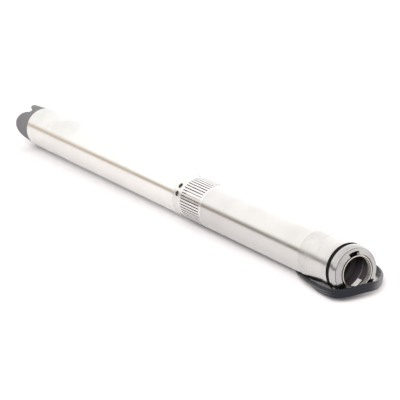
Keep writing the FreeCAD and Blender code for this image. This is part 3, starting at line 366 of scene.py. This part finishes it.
def add_tube(builder, line, radii, sides):
    """A closed tube of rings in a mesh builder, with its own radius at each point of a line."""
    rings = []
    for index, place in enumerate(line):
        going = heading(line, index)
        side = going.orthogonal().normalized()
        other = going.cross(side)
        ring = []
        for turn in range(sides):
            angle = 2 * math.pi * turn / sides
            away = (side * math.cos(angle) + other * math.sin(angle)) * radii[index]
            ring.append(builder.verts.new(place + away))
        rings.append(ring)
    skin(builder, rings)


def bare_core(name, height):
    """One insulated core, with a rounded edge where its sheath is cut back from the copper."""
    cut = core_back + TIP_LENGTH
    profile = [(core_front, CORE_RADIUS), (cut + 0.6 * MM, CORE_RADIUS),
               (cut + 0.2 * MM, CORE_RADIUS * 0.93), (cut, COPPER_RADIUS)]
    builder = bmesh.new()
    line = [Vector((x, core_across, height)) for x, radius in profile]
    add_tube(builder, line, [radius * MM for x, radius in profile], CORE_SIDES)
    return finished_piece(name, builder, flat_ends=True)


print("cores at", [round(height, 4) for height in core_heights])

# %% [markdown]
# Stranded copper is a bundle of thin wires twisted together. Seven wires give the right look at
# this size: six wound round a straight seventh. Each is a thin tube along a helix, and one bundle
# is one piece, because nobody moves a single wire.

# %% Copper tips, and all six pieces
WIRE_RADIUS = 0.38
WIRE_CIRCLE = 0.75
WIRE_TWIST = 1.4 * math.pi
WIRE_IN_SHEATH = 1.0
WIRE_STEPS = 12
WIRE_SIDES = 8


def twisted_wires(name, back, across, height):
    """Six wires wound round a straight seventh, as one piece."""
    builder = bmesh.new()
    for wire in range(7):
        away = 0.0 if wire == 6 else WIRE_CIRCLE * MM
        line = []
        for step in range(WIRE_STEPS + 1):
            share = step / WIRE_STEPS
            angle = wire * math.pi / 3 + share * WIRE_TWIST
            line.append(Vector((back + (TIP_LENGTH + WIRE_IN_SHEATH * MM) * (1 - share),
                                across + away * math.cos(angle), height + away * math.sin(angle))))
        add_tube(builder, line, [WIRE_RADIUS * MM] * len(line), WIRE_SIDES)
    return finished_piece(name, builder, flat_ends=True)


core_pieces = []
copper_pieces = []
for number, height in enumerate(core_heights):
    core_pieces.append(bare_core(f"core_sheath_{number + 1}", height))
    copper_pieces.append(twisted_wires(f"copper_{number + 1}", core_back + 0.2 * MM, core_across, height))
for piece in core_pieces + copper_pieces:
    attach(piece, "pump_body")
    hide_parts("core_ends")
print("cores", len(core_pieces), "copper tips", len(copper_pieces))

# %% [markdown]
# The folded lead is held by a soft strap that laps over itself. Its path is a rounded square loop
# round the two laps. The strap starts pressed in a little and goes on past its own start with the
# end lifted, so that the end lies on top of the start and no face runs through another.

# %% The strap's path
STRAP_THICKNESS = 0.9
LOOP_STEPS = 56
OVERLAP_STEPS = 9
LOOP_SQUARENESS = 5
LOOP_START = math.radians(60)
START_PRESSED = 0.9
END_LIFTED = 0.55
strap_thick = STRAP_THICKNESS * MM
tie_low, tie_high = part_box("hank_tie")


def strap_path(low, high):
    """Places round a rounded loop in the Y-Z plane, and on over the start for the overlap."""
    half_y = (high[1] - low[1]) / 2 - strap_thick
    half_z = (high[2] - low[2]) / 2 - strap_thick
    middle_y = (high[1] + low[1]) / 2
    middle_z = (high[2] + low[2]) / 2
    places = []
    for index in range(LOOP_STEPS + OVERLAP_STEPS):
        angle = 2 * math.pi * index / LOOP_STEPS + LOOP_START
        power = abs(math.cos(angle)) ** LOOP_SQUARENESS + abs(math.sin(angle)) ** LOOP_SQUARENESS
        swell = power ** (-1 / LOOP_SQUARENESS)
        pressed = max(0.0, 1 - index / OVERLAP_STEPS)
        lifted = max(0.0, (index - LOOP_STEPS) / OVERLAP_STEPS)
        grow = strap_thick * (END_LIFTED * lifted - START_PRESSED * pressed)
        places.append((middle_y + (half_y + grow) * swell * math.cos(angle),
                       middle_z + (half_z + grow) * swell * math.sin(angle)))
    return places


print("strap path", len(strap_path(tie_low, tie_high)), "places")

# %% [markdown]
# The strap itself is a flat band: at each place of the path stands a ring whose outline is the
# band's cross section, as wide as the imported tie, with softened edges. The outline gives each
# corner as a share of the width and a share of the thickness.

# %% The strap round the laps
STRAP_OUTLINE = [(0.0, 0.2), (0.04, 0.5), (0.5, 0.5), (0.96, 0.5), (1.0, 0.2),
                 (1.0, -0.2), (0.96, -0.5), (0.5, -0.5), (0.04, -0.5), (0.0, -0.2)]
strap_width = tie_high[0] - tie_low[0]
strap_line = [Vector((tie_low[0], y, z)) for y, z in strap_path(tie_low, tie_high)]
builder = bmesh.new()
rings = []
for index, place in enumerate(strap_line):
    outward = Vector((1, 0, 0)).cross(heading(strap_line, index))
    ring = []
    for along, over in STRAP_OUTLINE:
        shift = Vector((strap_width * along, 0, 0)) - outward * (over * strap_thick)
        ring.append(builder.verts.new(place + shift))
    rings.append(ring)
skin(builder, rings)
hank_strap = finished_piece("hank_strap", builder)
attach(hank_strap, "pump_body")
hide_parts("hank_tie")
print("strap", len(hank_strap.data.vertices), "vertices")

# %% [markdown]
# A soft lead can't be judged from its mesh alone. The lead's length along the line it was built
# on is printed here, beside its real length in all.

# %% What the lead is
print("cord of", round(cable_length, 3), "m along its line, 1.85 m in all")

# %% [markdown]
# The mouth's lip is a turned steel ring. Inside it three slim lands stand up from the wall, and
# they show as bright and dark arcs beside the dark bore. Each land is turned from an outline of
# (station, radius) points with a half-round top. Its foot is sunk into the wall to leave no gap.

# %% Turned lands inside the lip
LIP_RADIUS = 23.4
LAND_STATIONS = (22.4, 20.2, 18.0)
LAND_TOP = 0.5
LAND_FOOT = 0.6
LAND_SUNK = 0.15
LAND_RISE = 0.05
LAND_STEPS = 6
RING_SIDES = 96


def turned_ring(name, outline):
    """A ring turned from a closed outline of (station, radius) points in millimetres."""
    builder = bmesh.new()
    rings = []
    for turn in range(RING_SIDES):
        angle = 2 * math.pi * turn / RING_SIDES
        rings.append([builder.verts.new((RING_X + station * MM, radius * MM * math.cos(angle),
                                         AXIS_Z + radius * MM * math.sin(angle)))
                      for station, radius in outline])
    skin(builder, rings, closed=True)
    return finished_piece(name, builder)


lip_lands = []
for number, station in enumerate(LAND_STATIONS):
    outline = [(station - LAND_FOOT, LIP_RADIUS + LAND_SUNK)]
    for step in range(LAND_STEPS + 1):
        angle = math.pi * step / LAND_STEPS
        outline.append((station - LAND_TOP * math.cos(angle),
                        LIP_RADIUS - LAND_RISE - LAND_TOP * math.sin(angle)))
    outline.append((station + LAND_FOOT, LIP_RADIUS + LAND_SUNK))
    land = turned_ring(f"lip_land_{number + 1}", outline)
    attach(land, "pump_body")
    lip_lands.append(land)
lip_low, lip_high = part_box("mouth_ring")
print("lands", len(lip_lands), "in a lip from", round((lip_low[0] - RING_X) / MM, 1),
      "to", round((lip_high[0] - RING_X) / MM, 1))

# %% [markdown]
# The table is a plain pale sheet, matt, so that it shows shadows and no mirror image. It is only
# a stage for the picture and is marked as such: it isn't part of the pump.

# %% Floor
FLOOR_COLOUR = (0.52, 0.505, 0.51, 1)
floor = bpy.data.objects.new("floor", bpy.data.meshes.new("floor"))
builder = bmesh.new()
bmesh.ops.create_grid(builder, x_segments=1, y_segments=1, size=9.0)
builder.to_mesh(floor.data)
builder.free()
scene.collection.objects.link(floor)
floor_finish = bpy.data.materials.new("floor_white")
floor_finish.use_nodes = True
floor_shader = floor_finish.node_tree.nodes["Principled BSDF"]
floor_shader.inputs["Base Color"].default_value = FLOOR_COLOUR
floor_shader.inputs["Roughness"].default_value = 0.9
floor_shader.inputs["Specular IOR Level"].default_value = 0.1
floor.data.materials.append(floor_finish)
print("floor", [round(side, 1) for side in floor.dimensions])

# %% [markdown]
# One very large soft box stands behind and above the camera, so that the shadows are soft and
# fall behind the pump. Turned steel would mirror such a light as a jagged white patch on every
# ring. So reflections don't see it: it lights the floor and the rubber, and the steel sees only
# the room, whose tones are given further down.

# %% Soft box
BOX_PLACE = Vector((3.4, -2.6, 2.2))
BOX_TARGET = Vector((0.1, 0, 0))
BOX_SIZE = (3.0, 1.6)
BOX_POWER = 520
box_light = bpy.data.lights.new("camera_box", "AREA")
box_light.shape = "RECTANGLE"
box_light.size, box_light.size_y = BOX_SIZE
box_light.energy = BOX_POWER
soft_box = bpy.data.objects.new("camera_box", box_light)
soft_box.location = BOX_PLACE
soft_box.rotation_euler = (BOX_TARGET - BOX_PLACE).to_track_quat("-Z", "Y").to_euler()
soft_box.visible_glossy = False
scene.collection.objects.link(soft_box)
print("soft box", round((BOX_TARGET - BOX_PLACE).length, 2), "m away")

# %% [markdown]
# The room and the finishes are both made of nodes, and both need sums and mixes of colours. These
# two helpers work in any node tree and take a socket or a plain value for each part, so that the
# recipes further down read like formulas.

# %% Sums and mixes in a node tree


def calculate(tree, operation, first, second=None):
    """A maths node of a node tree between two sockets or plain numbers."""
    node = tree.nodes.new("ShaderNodeMath")
    node.operation = operation
    for socket, value in zip(node.inputs, (first, second)):
        if hasattr(value, "links"):
            tree.links.new(value, socket)
        elif value is not None:
            socket.default_value = value
    return node.outputs["Value"]


def mixed(tree, factor, first, second):
    """A mix of two colours or colour sockets by a mask."""
    node = tree.nodes.new("ShaderNodeMix")
    node.data_type = "RGBA"
    tree.links.new(factor, node.inputs["Factor"])
    for label, value in (("A", first), ("B", second)):
        if hasattr(value, "links"):
            tree.links.new(value, node.inputs[label])
        else:
            node.inputs[label].default_value = (*value, 1)
    return node.outputs["Result"]


print("node helpers ready")

# %% [markdown]
# A polished tube is a mirror that is curved one way only. Seen through a long lens it shows one
# slice of the room along its whole length, and that slice is found by how far the mirrored
# direction points back along the pump: about 0.81 for the sleeve, 0.86 for the motor's tube. So
# the wall's tone is set slice by slice, and it is only half as bright for the motor's tube, whose
# steel would else be lost in the white. Low on the camera's side runs a darker skirting. Each
# tube shows it as one thin line along its side: grey on the sleeve, tan on the motor.

# %% White room
ON, OFF = (1, 1, 1), (0, 0, 0)
ROOM_STRENGTH = 2.1
world = bpy.data.worlds.new("white_room")
scene.world = world
world.use_nodes = True
room = world.node_tree
direction = room.nodes.new("ShaderNodeTexCoord")
split = room.nodes.new("ShaderNodeSeparateXYZ")
room.links.new(direction.outputs["Generated"], split.inputs[0])


def room_ramp(source, stops):
    """A colour ramp over one part of the room's direction, from (place, colour) stops."""
    ramp = room.nodes.new("ShaderNodeValToRGB")
    elements = ramp.color_ramp.elements
    while len(elements) < len(stops):
        elements.new(0.5)
    for element, (position, colour) in zip(elements, stops):
        element.position = position
        element.color = (*colour, 1)
    room.links.new(source, ramp.inputs["Fac"])
    return ramp.outputs["Color"]


upward = split.outputs["Z"]
backward = calculate(room, "MULTIPLY", split.outputs["X"], -1.0)
camera_side = room_ramp(split.outputs["Y"], [(0.0, ON), (0.02, OFF)])
far_share = room_ramp(backward, [(0.81, OFF), (0.87, ON)])
near_share = calculate(room, "SUBTRACT", 1.0, far_share)
near_low = room_ramp(upward, [(0.0, ON), (0.11, ON), (0.25, OFF)])
far_low = room_ramp(upward, [(0.0, ON), (0.08, ON), (0.15, OFF)])
low = calculate(room, "ADD", calculate(room, "MULTIPLY", near_low, near_share),
                calculate(room, "MULTIPLY", far_low, far_share))
wall = room_ramp(backward, [(0.78, (0.80, 0.785, 0.765)), (0.825, (1.0, 1.0, 0.995)),
                            (0.86, (0.50, 0.496, 0.488))])
skirting = room_ramp(backward, [(0.79, (0.13, 0.125, 0.125)), (0.87, (0.38, 0.30, 0.20))])
background = room.nodes["Background"]
room.links.new(mixed(room, calculate(room, "MULTIPLY", low, camera_side), wall, skirting),
               background.inputs["Color"])
background.inputs["Strength"].default_value = ROOM_STRENGTH
scene.view_settings.view_transform = "Standard"
print("room nodes", len(room.nodes))

# %% [markdown]
# An effect that several finishes share is a node group: built once, and placed wherever a
# material needs it, with its own values. Nearly every piece of this pump is round and turned on a
# lathe, so the first group gives the two numbers that most effects start from: a point's place
# along the pump and its distance from the pump's axis.

# %% Node groups and axis coordinates


def new_group(name, inputs, outputs=("Mask",)):
    """An empty node group with number inputs, number outputs and its two end nodes."""
    group = bpy.data.node_groups.new(name, "ShaderNodeTree")
    for label, value in inputs.items():
        socket = group.interface.new_socket(name=label, in_out="INPUT", socket_type="NodeSocketFloat")
        socket.default_value = value
    for label in outputs:
        group.interface.new_socket(name=label, in_out="OUTPUT", socket_type="NodeSocketFloat")
    return group, group.nodes.new("NodeGroupInput"), group.nodes.new("NodeGroupOutput")


def placed(tree, group, settings):
    """One node of a shared group in a node tree, with its own values."""
    node = tree.nodes.new("ShaderNodeGroup")
    node.node_tree = group
    for label, value in settings.items():
        node.inputs[label].default_value = value
    return node


def axis_group():
    """Place along the axis and distance from it, in metres, with the two cross directions."""
    group, source, result = new_group("axis_coordinates", {"Axis Height": AXIS_Z},
                                      ("Along", "Radius", "Across", "Up"))
    place = group.nodes.new("ShaderNodeTexCoord")
    parts = group.nodes.new("ShaderNodeSeparateXYZ")
    group.links.new(place.outputs["Object"], parts.inputs[0])
    up = calculate(group, "SUBTRACT", parts.outputs["Z"], source.outputs["Axis Height"])
    squares = calculate(group, "ADD", calculate(group, "MULTIPLY", up, up),
                        calculate(group, "MULTIPLY", parts.outputs["Y"], parts.outputs["Y"]))
    group.links.new(parts.outputs["X"], result.inputs["Along"])
    group.links.new(calculate(group, "SQRT", squares), result.inputs["Radius"])
    group.links.new(parts.outputs["Y"], result.inputs["Across"])
    group.links.new(up, result.inputs["Up"])
    return group


AXIS = axis_group()
print("axis group outputs", [item.name for item in AXIS.interface.items_tree if item.in_out == "OUTPUT"])

# %% [markdown]
# A turned surface carries fine rings: they change fast along the axis and with the radius, and
# hardly at all round it. Noise gives them if its space is stretched that way: many marks per
# metre in two directions, and only a slow drift round the pump. Moulded rubber and plastic have
# an even grain instead, which is the same noise without the stretch.

# %% Turned rings and moulded grain


def add_noise(group, scale, vector, detail):
    """A noise texture node whose scale is a number or a socket."""
    noise = group.nodes.new("ShaderNodeTexNoise")
    noise.inputs["Detail"].default_value = detail
    if hasattr(scale, "links"):
        group.links.new(scale, noise.inputs["Scale"])
    else:
        noise.inputs["Scale"].default_value = scale
    group.links.new(vector, noise.inputs["Vector"])
    return noise


def turned_marks_group():
    """Fine rings round the pump's axis, as a mask from 0 to 1."""
    group, source, result = new_group("turned_marks", {"Marks per Metre": 900.0, "Unevenness": 4.0})
    axis = placed(group, AXIS, {"Axis Height": AXIS_Z})
    marks = source.outputs["Marks per Metre"]
    uneven = source.outputs["Unevenness"]
    radial = calculate(group, "MULTIPLY", axis.outputs["Radius"], marks)
    drift = calculate(group, "MULTIPLY", axis.outputs["Up"], uneven)
    vector = group.nodes.new("ShaderNodeCombineXYZ")
    group.links.new(calculate(group, "MULTIPLY", axis.outputs["Along"], marks), vector.inputs["X"])
    group.links.new(calculate(group, "ADD", radial, drift), vector.inputs["Y"])
    group.links.new(calculate(group, "MULTIPLY", axis.outputs["Across"], uneven), vector.inputs["Z"])
    noise = add_noise(group, 1.0, vector.outputs["Vector"], 3.0)
    group.links.new(noise.outputs["Fac"], result.inputs["Mask"])
    return group


def grain_group():
    """Even fine grain, as moulded plastic and rubber have it."""
    group, source, result = new_group("fine_grain", {"Scale": 1500.0})
    place = group.nodes.new("ShaderNodeTexCoord")
    noise = add_noise(group, source.outputs["Scale"], place.outputs["Object"], 4.0)
    group.links.new(noise.outputs["Fac"], result.inputs["Mask"])
    return group


TURNED = turned_marks_group()
GRAIN = grain_group()
print("groups", [group.name for group in bpy.data.node_groups])

# %% [markdown]
# Hands and rags leave soft, wide patches on steel that follow no tool. They come from a wide
# noise of which only the upper part counts, so that clean steel lies between the patches. The same
# patches also serve as painted reflection, where a finish darkens its colour in them. The last
# mask is one inside a radius and behind a place along the pump. It finds the inside of the outlet,
# where shade is painted as a dark colour, and with a radius wider than the pump it simply splits a
# finish at a place.

# %% Handling film, painted reflection and bore mask
PATCH_START = 0.45
PATCH_STEEPNESS = 5.0


def film_and_reflection_group():
    """Wide soft patches of handling film and of painted reflection, as a mask from 0 to 1."""
    group, source, result = new_group("film_and_painted_reflection", {"Patches per Metre": 22.0, "Amount": 0.5})
    place = group.nodes.new("ShaderNodeTexCoord")
    noise = add_noise(group, source.outputs["Patches per Metre"], place.outputs["Object"], 5.0)
    noise.inputs["Roughness"].default_value = 0.6
    above = calculate(group, "SUBTRACT", noise.outputs["Fac"], PATCH_START)
    steep = calculate(group, "MAXIMUM", calculate(group, "MULTIPLY", above, PATCH_STEEPNESS), 0.0)
    patches = calculate(group, "MINIMUM", steep, 1.0)
    group.links.new(calculate(group, "MULTIPLY", patches, source.outputs["Amount"]), result.inputs["Mask"])
    return group


def bore_group():
    """One where a point lies within a radius and behind a place along the pump, else zero."""
    group, source, result = new_group("within_bore", {"Bore Radius": 0.0349, "Face Place": 1.0})
    axis = placed(group, AXIS, {"Axis Height": AXIS_Z})
    within = calculate(group, "LESS_THAN", axis.outputs["Radius"], source.outputs["Bore Radius"])
    behind = calculate(group, "LESS_THAN", axis.outputs["Along"], source.outputs["Face Place"])
    group.links.new(calculate(group, "MULTIPLY", within, behind), result.inputs["Mask"])
    return group


FILM_AND_REFLECTION = film_and_reflection_group()
BORE = bore_group()
print("groups", [group.name for group in bpy.data.node_groups])

# %% [markdown]
# Every finish follows one recipe: a principled shader, one mark or grain mask mapped onto two
# colours and two roughness values, and the same mask as a shallow bump. Steel may add up to four
# things. Film makes it duller in patches, and painted reflection makes its colour darker in
# patches. A zone gives the part behind one place its own two colours. An inside gets painted
# shade, a dark colour, and it isn't metallic: a metal in a dark bore would turn pure black.

# %% The recipe for a finish
# Painted shade: the dark colour given to the inside of a bore.
PAINTED_BORE_SHADE_COLOUR = (0.034, 0.028, 0.030)
# Painted reflection: the colour of dark patches mixed into the steel.
PAINTED_REFLECTION_COLOUR = (0.26, 0.245, 0.24)
PAINTED_REFLECTIONS_PER_METRE = 16.0
RELIEF = 0.2 * MM
FINISHES = {}


def finish(name, group, settings, colours, roughness, bump, metallic=0.0, film=0.0, smudge=0.0,
           zone=None, zone_colours=None, inside=None, specular=0.5):
    """A material whose mask mixes two colours and two roughness values and lifts the surface."""
    material = bpy.data.materials.new(name)
    material.use_nodes = True
    tree = material.node_tree
    shader = tree.nodes["Principled BSDF"]
    shader.inputs["Metallic"].default_value = metallic
    shader.inputs["Specular IOR Level"].default_value = specular
    mask = placed(tree, group, settings).outputs["Mask"]
    colour = mixed(tree, mask, *colours)
    if zone is not None:
        behind = placed(tree, BORE, zone).outputs["Mask"]
        colour = mixed(tree, behind, colour, mixed(tree, mask, *zone_colours))
    # Painted reflection: dark patches mixed into the colour where the patch noise rises.
    if smudge:
        reflection_patches = placed(tree, FILM_AND_REFLECTION, {"Amount": smudge, "Patches per Metre": PAINTED_REFLECTIONS_PER_METRE})
        colour = mixed(tree, reflection_patches.outputs["Mask"], colour, PAINTED_REFLECTION_COLOUR)
    # Painted shade: the bore's inside gets a dark colour and loses its metal.
    if inside is not None:
        dark = placed(tree, BORE, inside).outputs["Mask"]
        colour = mixed(tree, dark, colour, PAINTED_BORE_SHADE_COLOUR)
        tree.links.new(calculate(tree, "SUBTRACT", 1.0, dark), shader.inputs["Metallic"])
    tree.links.new(colour, shader.inputs["Base Color"])
    polish = tree.nodes.new("ShaderNodeMapRange")
    polish.inputs["To Min"].default_value, polish.inputs["To Max"].default_value = roughness
    tree.links.new(mask, polish.inputs["Value"])
    dullness = polish.outputs["Result"]
    if film:
        dullness = calculate(tree, "ADD", dullness, placed(tree, FILM_AND_REFLECTION, {"Amount": film}).outputs["Mask"])
    tree.links.new(dullness, shader.inputs["Roughness"])
    relief = tree.nodes.new("ShaderNodeBump")
    relief.inputs["Strength"].default_value = bump
    relief.inputs["Distance"].default_value = RELIEF
    tree.links.new(mask, relief.inputs["Height"])
    tree.links.new(relief.outputs["Normal"], shader.inputs["Normal"])
    FINISHES[name] = material


print("recipe ready")

# %% [markdown]
# Stainless steel reflects somewhat more than half of the light, slightly warm. The tubes are
# bright and smooth, and the motor's tube is given brighter steel than the sleeve: they share a
# finish that is split where the strainer begins. The head and collar show more lathe marks and
# more patches of painted dark reflection, and the collar's face is a little darker than its
# outside. The neck and strainer are bright but rougher, so that they mirror less sharply. The
# head, collar and lip have painted shade on their insides: a dark colour where the bore is in shade.

# %% Steel that shows


def steel(name, marks, dark, light, roughness, bump, **more):
    """A finish in turned metal, with its marks per metre."""
    finish(name, TURNED, {"Marks per Metre": marks}, (dark, light), roughness, bump, metallic=1.0, **more)


def part_of_pump(radius, place):
    """The settings of a mask that is one inside a radius and behind a place along the pump."""
    return {"Bore Radius": radius, "Face Place": place}


ALL_ROUND = 1.0
STRAINER_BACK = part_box("inlet_strainer")[0][0]
COLLAR_FRONT = RING_X + 21.2 * MM
LIP_FRONT = RING_X + 24.4 * MM
PAST_THE_MOUTH = RING_X + 60 * MM
# The darker patches asked for below are painted reflection in the steel's colour.
steel("tube_steel", 1400, (0.51, 0.50, 0.49), (0.56, 0.55, 0.54), (0.15, 0.23), 0.08, film=0.05,
      smudge=0.10, zone=part_of_pump(ALL_ROUND, STRAINER_BACK),
      zone_colours=((0.71, 0.70, 0.68), (0.78, 0.77, 0.75)))
# The insides of head, collar and lip get painted shade: a dark colour where the bore lies in shade.
steel("head_steel", 1100, (0.49, 0.48, 0.475), (0.55, 0.54, 0.53), (0.16, 0.28), 0.10, film=0.06,
      smudge=0.26, inside=part_of_pump(TUBE_RADIUS + 1.2 * MM, RING_X))
steel("collar_steel", 1500, (0.34, 0.34, 0.34), (0.52, 0.52, 0.515), (0.14, 0.26), 0.20,
      smudge=0.45, zone=part_of_pump(TUBE_RADIUS + 0.3 * MM, PAST_THE_MOUTH),
      zone_colours=((0.33, 0.33, 0.33), (0.43, 0.43, 0.425)),
      inside=part_of_pump(TUBE_RADIUS - 0.1 * MM, COLLAR_FRONT))
steel("lip_steel", 1800, (0.42, 0.40, 0.36), (0.54, 0.52, 0.48), (0.18, 0.30), 0.20,
      inside=part_of_pump((LIP_RADIUS + 0.1) * MM, LIP_FRONT))
steel("lip_land", 1800, (0.30, 0.29, 0.27), (0.46, 0.45, 0.43), (0.20, 0.32), 0.15)
steel("neck_steel", 800, (0.60, 0.585, 0.57), (0.70, 0.69, 0.67), (0.22, 0.34), 0.15, film=0.05)
steel("strainer_steel", 700, (0.60, 0.585, 0.58), (0.68, 0.665, 0.66), (0.20, 0.30), 0.12, film=0.05)
steel("guard_steel", 300, (0.52, 0.51, 0.50), (0.60, 0.59, 0.58), (0.25, 0.40), 0.15, film=0.08)
steel("screw_steel", 2500, (0.50, 0.50, 0.49), (0.60, 0.60, 0.59), (0.25, 0.40), 0.20)
print("finishes so far", sorted(FINISHES))

# %% [markdown]
# The metals inside are hidden in this view, but each piece keeps its own finish for those who
# open the pump: ground shafts are the smoothest, the stator is a stack of thin dark sheets whose
# edges show as rings, and the windings are copper wire, which also serves for the bare tips.

# %% Metals inside
steel("inner_steel", 1200, (0.46, 0.46, 0.46), (0.56, 0.56, 0.56), (0.30, 0.45), 0.20)
steel("shaft_steel", 2200, (0.54, 0.54, 0.54), (0.64, 0.64, 0.64), (0.15, 0.25), 0.10)
steel("lamination", 2000, (0.18, 0.18, 0.20), (0.30, 0.30, 0.32), (0.40, 0.60), 0.40)
steel("winding", 1000, (0.45, 0.18, 0.08), (0.60, 0.29, 0.15), (0.25, 0.40), 0.60)
print("finishes so far", len(FINISHES))

# %% [markdown]
# The rest is moulded or pressed and has an even grain: a grey end cap, pale stages, black valve
# parts, rubber and cable sheath. Black rubber looks black only when its own colour is below two
# percent and its gloss is weak, because a white room shines on it from all sides. The lead is
# glossier than the ring, which makes its ribs show. Magnets are pressed metal powder.

# %% Moulded finishes


def moulded(name, scale, dark, light, roughness, bump, **more):
    """A finish with an even grain of a given scale."""
    finish(name, GRAIN, {"Scale": scale}, (dark, light), roughness, bump, **more)


moulded("magnet", 900, (0.14, 0.14, 0.15), (0.22, 0.22, 0.23), (0.40, 0.55), 0.20, metallic=1.0)
moulded("carbon", 2500, (0.03, 0.03, 0.03), (0.06, 0.06, 0.06), (0.35, 0.50), 0.10)
moulded("grey_plastic", 1800, (0.070, 0.070, 0.073), (0.092, 0.092, 0.096), (0.45, 0.60), 0.12, specular=0.3)
moulded("stage_plastic", 1200, (0.60, 0.58, 0.52), (0.68, 0.66, 0.61), (0.40, 0.55), 0.10)
moulded("impeller_plastic", 1200, (0.04, 0.04, 0.045), (0.06, 0.06, 0.065), (0.35, 0.50), 0.10)
moulded("valve_plastic", 1500, (0.020, 0.016, 0.017), (0.032, 0.026, 0.027), (0.50, 0.65), 0.15, specular=0.2)
moulded("black_rubber", 2200, (0.002, 0.002, 0.002), (0.005, 0.005, 0.005), (0.60, 0.75), 0.20, specular=0.03)
moulded("cable_rubber", 1300, (0.004, 0.0045, 0.0065), (0.009, 0.0095, 0.0125), (0.20, 0.30), 0.22,
        specular=0.12)
moulded("core_sheath", 1500, (0.20, 0.065, 0.03), (0.26, 0.09, 0.045), (0.35, 0.50), 0.10)
moulded("tie_plastic", 1500, (0.012, 0.012, 0.012), (0.024, 0.024, 0.024), (0.40, 0.50), 0.10)
print("finishes", len(FINISHES))

# %% [markdown]
# The record names the finish of every imported piece, so one loop dresses them all. The pieces that
# this lesson made itself are listed beside it. The lands in the lip are the same steel as the
# lip, but they get their own finish, because the painted shade on the lip's inside would swallow
# them.

# %% Finishes on every piece
for entry in frame["record"]["subparts"]:
    node = frame["nodes"][entry["node"]]
    node.data.materials.clear()
    node.data.materials.append(FINISHES[entry["material_slot"]])
own_pieces = [(cable, "cable_rubber"), (held_cable, "cable_rubber"), (hank_strap, "tie_plastic")]
own_pieces += [(piece, "core_sheath") for piece in core_pieces]
own_pieces += [(piece, "winding") for piece in copper_pieces]
own_pieces += [(piece, "lip_land") for piece in lip_lands]
for piece, name in own_pieces:
    piece.data.materials.append(FINISHES[name])

# %% [markdown]
# That is the whole scene: the pump, its lead, the floor, the light and the room.

# %% The end
print("the pump is dressed")
